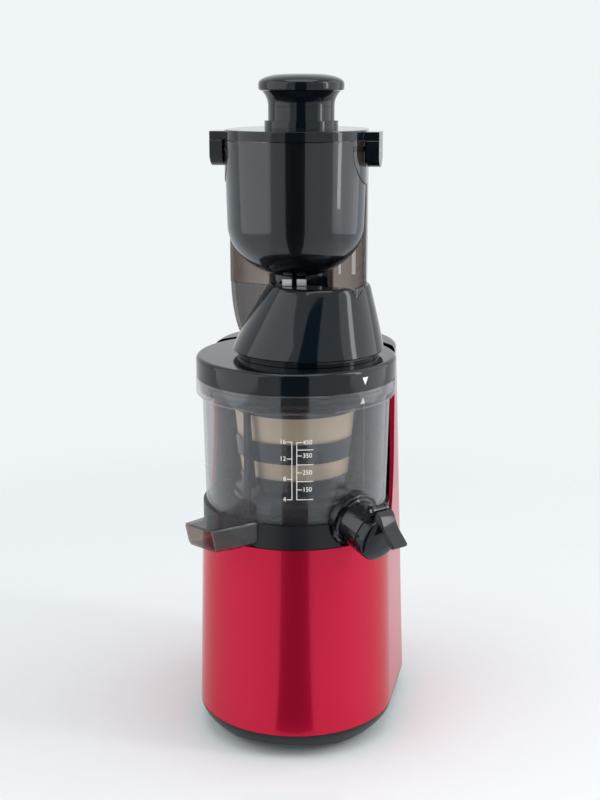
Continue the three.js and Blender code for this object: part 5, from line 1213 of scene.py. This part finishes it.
def dark_card(name, azimuth, near, far, spread, tall):
    """A black card that only mirrors show: upright behind the camera, or spread over the floor as a wedge."""
    width = 2 * far * math.tan(spread)
    if tall:
        bpy.ops.mesh.primitive_plane_add(size=1, location=place(0, -far, tall / 2), rotation=(QUARTER, 0, 0))
        card = bpy.context.object
        card.scale = (width, tall, 1)
        set_in_place(card)
    else:
        bpy.ops.mesh.primitive_plane_add(size=1, location=place(0, -(near + far) / 2, CARD_LIFT))
        card = bpy.context.object
        card.scale = (width, far - near, 1)
        set_in_place(card)
        edit(card)
        pick(card, lambda p: p.y > AXIS.y - near - OVERRUN)
        bpy.ops.transform.resize(value=(near / far, 1, 1), center_override=place(0, -near, 0))
        bpy.ops.object.mode_set(mode="OBJECT")
    card.name = name
    turn_about_axis(card, azimuth)
    card.data.materials.append(finish_of("rubber"))
    card.visible_camera = card.visible_diffuse = card.visible_shadow = card.visible_transmission = False


class JUICER_OT_finishes(bpy.types.Operator):
    """Makes the materials and dresses the nodes that stay as they are"""
    bl_idname = "juicer.finishes"
    bl_label = "Finishes"
    bl_options = {"REGISTER", "UNDO"}

    def execute(self, context):
        make_finishes(context.scene.juicer_colours)
        dress_nodes()
        return {"FINISHED"}


class JUICER_OT_housing(bpy.types.Operator):
    """Models the red shell, the column's cap, the base tray and the drum deck"""
    bl_idname = "juicer.housing"
    bl_label = "Housing"
    bl_options = {"REGISTER", "UNDO"}

    def execute(self, context):
        make_body_shell()
        make_column_cap()
        make_base_tray()
        make_drum_deck()
        return {"FINISHED"}


class JUICER_OT_drum(bpy.types.Operator):
    """Models the clear drum with its rim and the pulp chute"""
    bl_idname = "juicer.drum"
    bl_label = "Drum"
    bl_options = {"REGISTER", "UNDO"}

    def execute(self, context):
        make_juice_bowl()
        make_pulp_chute()
        return {"FINISHED"}


class JUICER_OT_spout(bpy.types.Operator):
    """Models the juice spout and its cap with the wing grip"""
    bl_idname = "juicer.spout"
    bl_label = "Spout and cap"
    bl_options = {"REGISTER", "UNDO"}

    def execute(self, context):
        make_spout()
        make_spout_cap()
        return {"FINISHED"}


class JUICER_OT_strainer(bpy.types.Operator):
    """Models the strainer's frame and its steel mesh"""
    bl_idname = "juicer.strainer"
    bl_label = "Strainer"
    bl_options = {"REGISTER", "UNDO"}

    def execute(self, context):
        make_strainer()
        return {"FINISHED"}


class JUICER_OT_lid(bpy.types.Operator):
    """Models the drum's lid and the feed cone on it"""
    bl_idname = "juicer.lid"
    bl_label = "Lid and cone"
    bl_options = {"REGISTER", "UNDO"}

    def execute(self, context):
        make_drum_lid()
        make_feed_cone()
        return {"FINISHED"}


class JUICER_OT_hopper(bpy.types.Operator):
    """Models the feed chute, its ears, the hopper's top and the flip gate"""
    bl_idname = "juicer.hopper"
    bl_label = "Hopper and gate"
    bl_options = {"REGISTER", "UNDO"}

    def execute(self, context):
        make_feed_chute()
        make_ears()
        make_hopper_lid()
        make_flip_gate()
        return {"FINISHED"}


class JUICER_OT_pusher(bpy.types.Operator):
    """Models the pusher's shaft and head"""
    bl_idname = "juicer.pusher"
    bl_label = "Pusher"
    bl_options = {"REGISTER", "UNDO"}

    def execute(self, context):
        make_pusher()
        return {"FINISHED"}


class JUICER_OT_print(bpy.types.Operator):
    """Prints the volume scale and the locking arrows"""
    bl_idname = "juicer.print"
    bl_label = "Scale and arrows"
    bl_options = {"REGISTER", "UNDO"}

    def execute(self, context):
        make_print()
        return {"FINISHED"}


class JUICER_OT_stage(bpy.types.Operator):
    """Sets up the floor, the surround, the lamps and the camera"""
    bl_idname = "juicer.stage"
    bl_label = "Stage"
    bl_options = {"REGISTER", "UNDO"}

    def execute(self, context):
        scene = context.scene
        colours, stage = scene.juicer_colours, scene.juicer_stage
        scene.view_settings.view_transform = "Standard"
        make_world(tuple(colours.backdrop), stage.ambient)
        bpy.ops.mesh.primitive_circle_add(vertices=96, radius=stage.floor_radius, fill_type="NGON",
                                          location=place(0, 0, -0.0002))
        floor = set_in_place(bpy.context.object)
        floor.name = "floor"
        floor.data.materials.append(floor_finish(tuple(colours.backdrop), stage.floor_radius))
        softbox("softbox_left", math.radians(-62), 0.85, 1.6, 2.2, 2.2, stage.left_lamp)
        softbox("softbox_right", math.radians(102), 0.85, 1.6, 2.2, 2.2, stage.right_lamp)
        softbox("strip_right", math.radians(83), 0.8, 1.2, 0.16, 1.2, stage.strip_lamp)
        softbox("softbox_top", math.radians(10), 1.9, 0.25, 1.2, 1.2, 9.0)
        dark_card("card_upright", CARD_AZIMUTH, 0.0, 2.2, CARD_SPREAD, 3.2)
        dark_card("card_floor", CARD_AZIMUTH, 0.13, 2.2, CARD_SPREAD, 0.0)
        bpy.ops.object.camera_add(location=place(0.1828, -1.0187, 0.5355))
        camera = bpy.context.object
        camera.name = "camera"
        camera.data.lens = stage.lens
        camera.data.sensor_width = 36
        camera.data.sensor_fit = "AUTO"
        camera.rotation_euler = (QUARTER - math.radians(13.85), math.radians(0), math.radians(10.0))
        scene.camera = camera
        return {"FINISHED"}


STEPS = (
    ("finishes", "Finishes"), ("housing", "Housing"), ("drum", "Drum"), ("spout", "Spout and cap"),
    ("strainer", "Strainer"), ("lid", "Lid and cone"), ("hopper", "Hopper and gate"), ("pusher", "Pusher"),
    ("print", "Scale and arrows"), ("stage", "Stage"),
)


class JUICER_PT_panel(bpy.types.Panel):
    """Lists the steps that make the juicer"""
    bl_idname = "JUICER_PT_panel"
    bl_label = "Cold press juicer"
    bl_space_type = "VIEW_3D"
    bl_region_type = "UI"
    bl_category = "Juicer"

    def draw(self, context):
        scene = context.scene
        for name in ("red", "black", "satin", "clear_tint", "dark_tint", "chute_tint", "duct_tint", "mesh", "backdrop"):
            self.layout.prop(scene.juicer_colours, name)
        for name in ("ambient", "left_lamp", "right_lamp", "strip_lamp", "floor_radius", "lens"):
            self.layout.prop(scene.juicer_stage, name)
        for step, label in STEPS:
            self.layout.operator(f"juicer.{step}", text=label)


CLASSES = (
    JuicerColours, JuicerStage, JUICER_OT_finishes, JUICER_OT_housing, JUICER_OT_drum, JUICER_OT_spout,
    JUICER_OT_strainer, JUICER_OT_lid, JUICER_OT_hopper, JUICER_OT_pusher, JUICER_OT_print, JUICER_OT_stage,
    JUICER_PT_panel,
)


def register():
    for made in CLASSES:
        bpy.utils.register_class(made)
    bpy.types.Scene.juicer_colours = bpy.props.PointerProperty(type=JuicerColours)
    bpy.types.Scene.juicer_stage = bpy.props.PointerProperty(type=JuicerStage)


def unregister():
    del bpy.types.Scene.juicer_stage
    del bpy.types.Scene.juicer_colours
    for made in reversed(CLASSES):
        bpy.utils.unregister_class(made)


def main():
    register()
    for step, _ in STEPS:
        getattr(bpy.ops.juicer, step)()


if __name__ == "__main__":
    main()
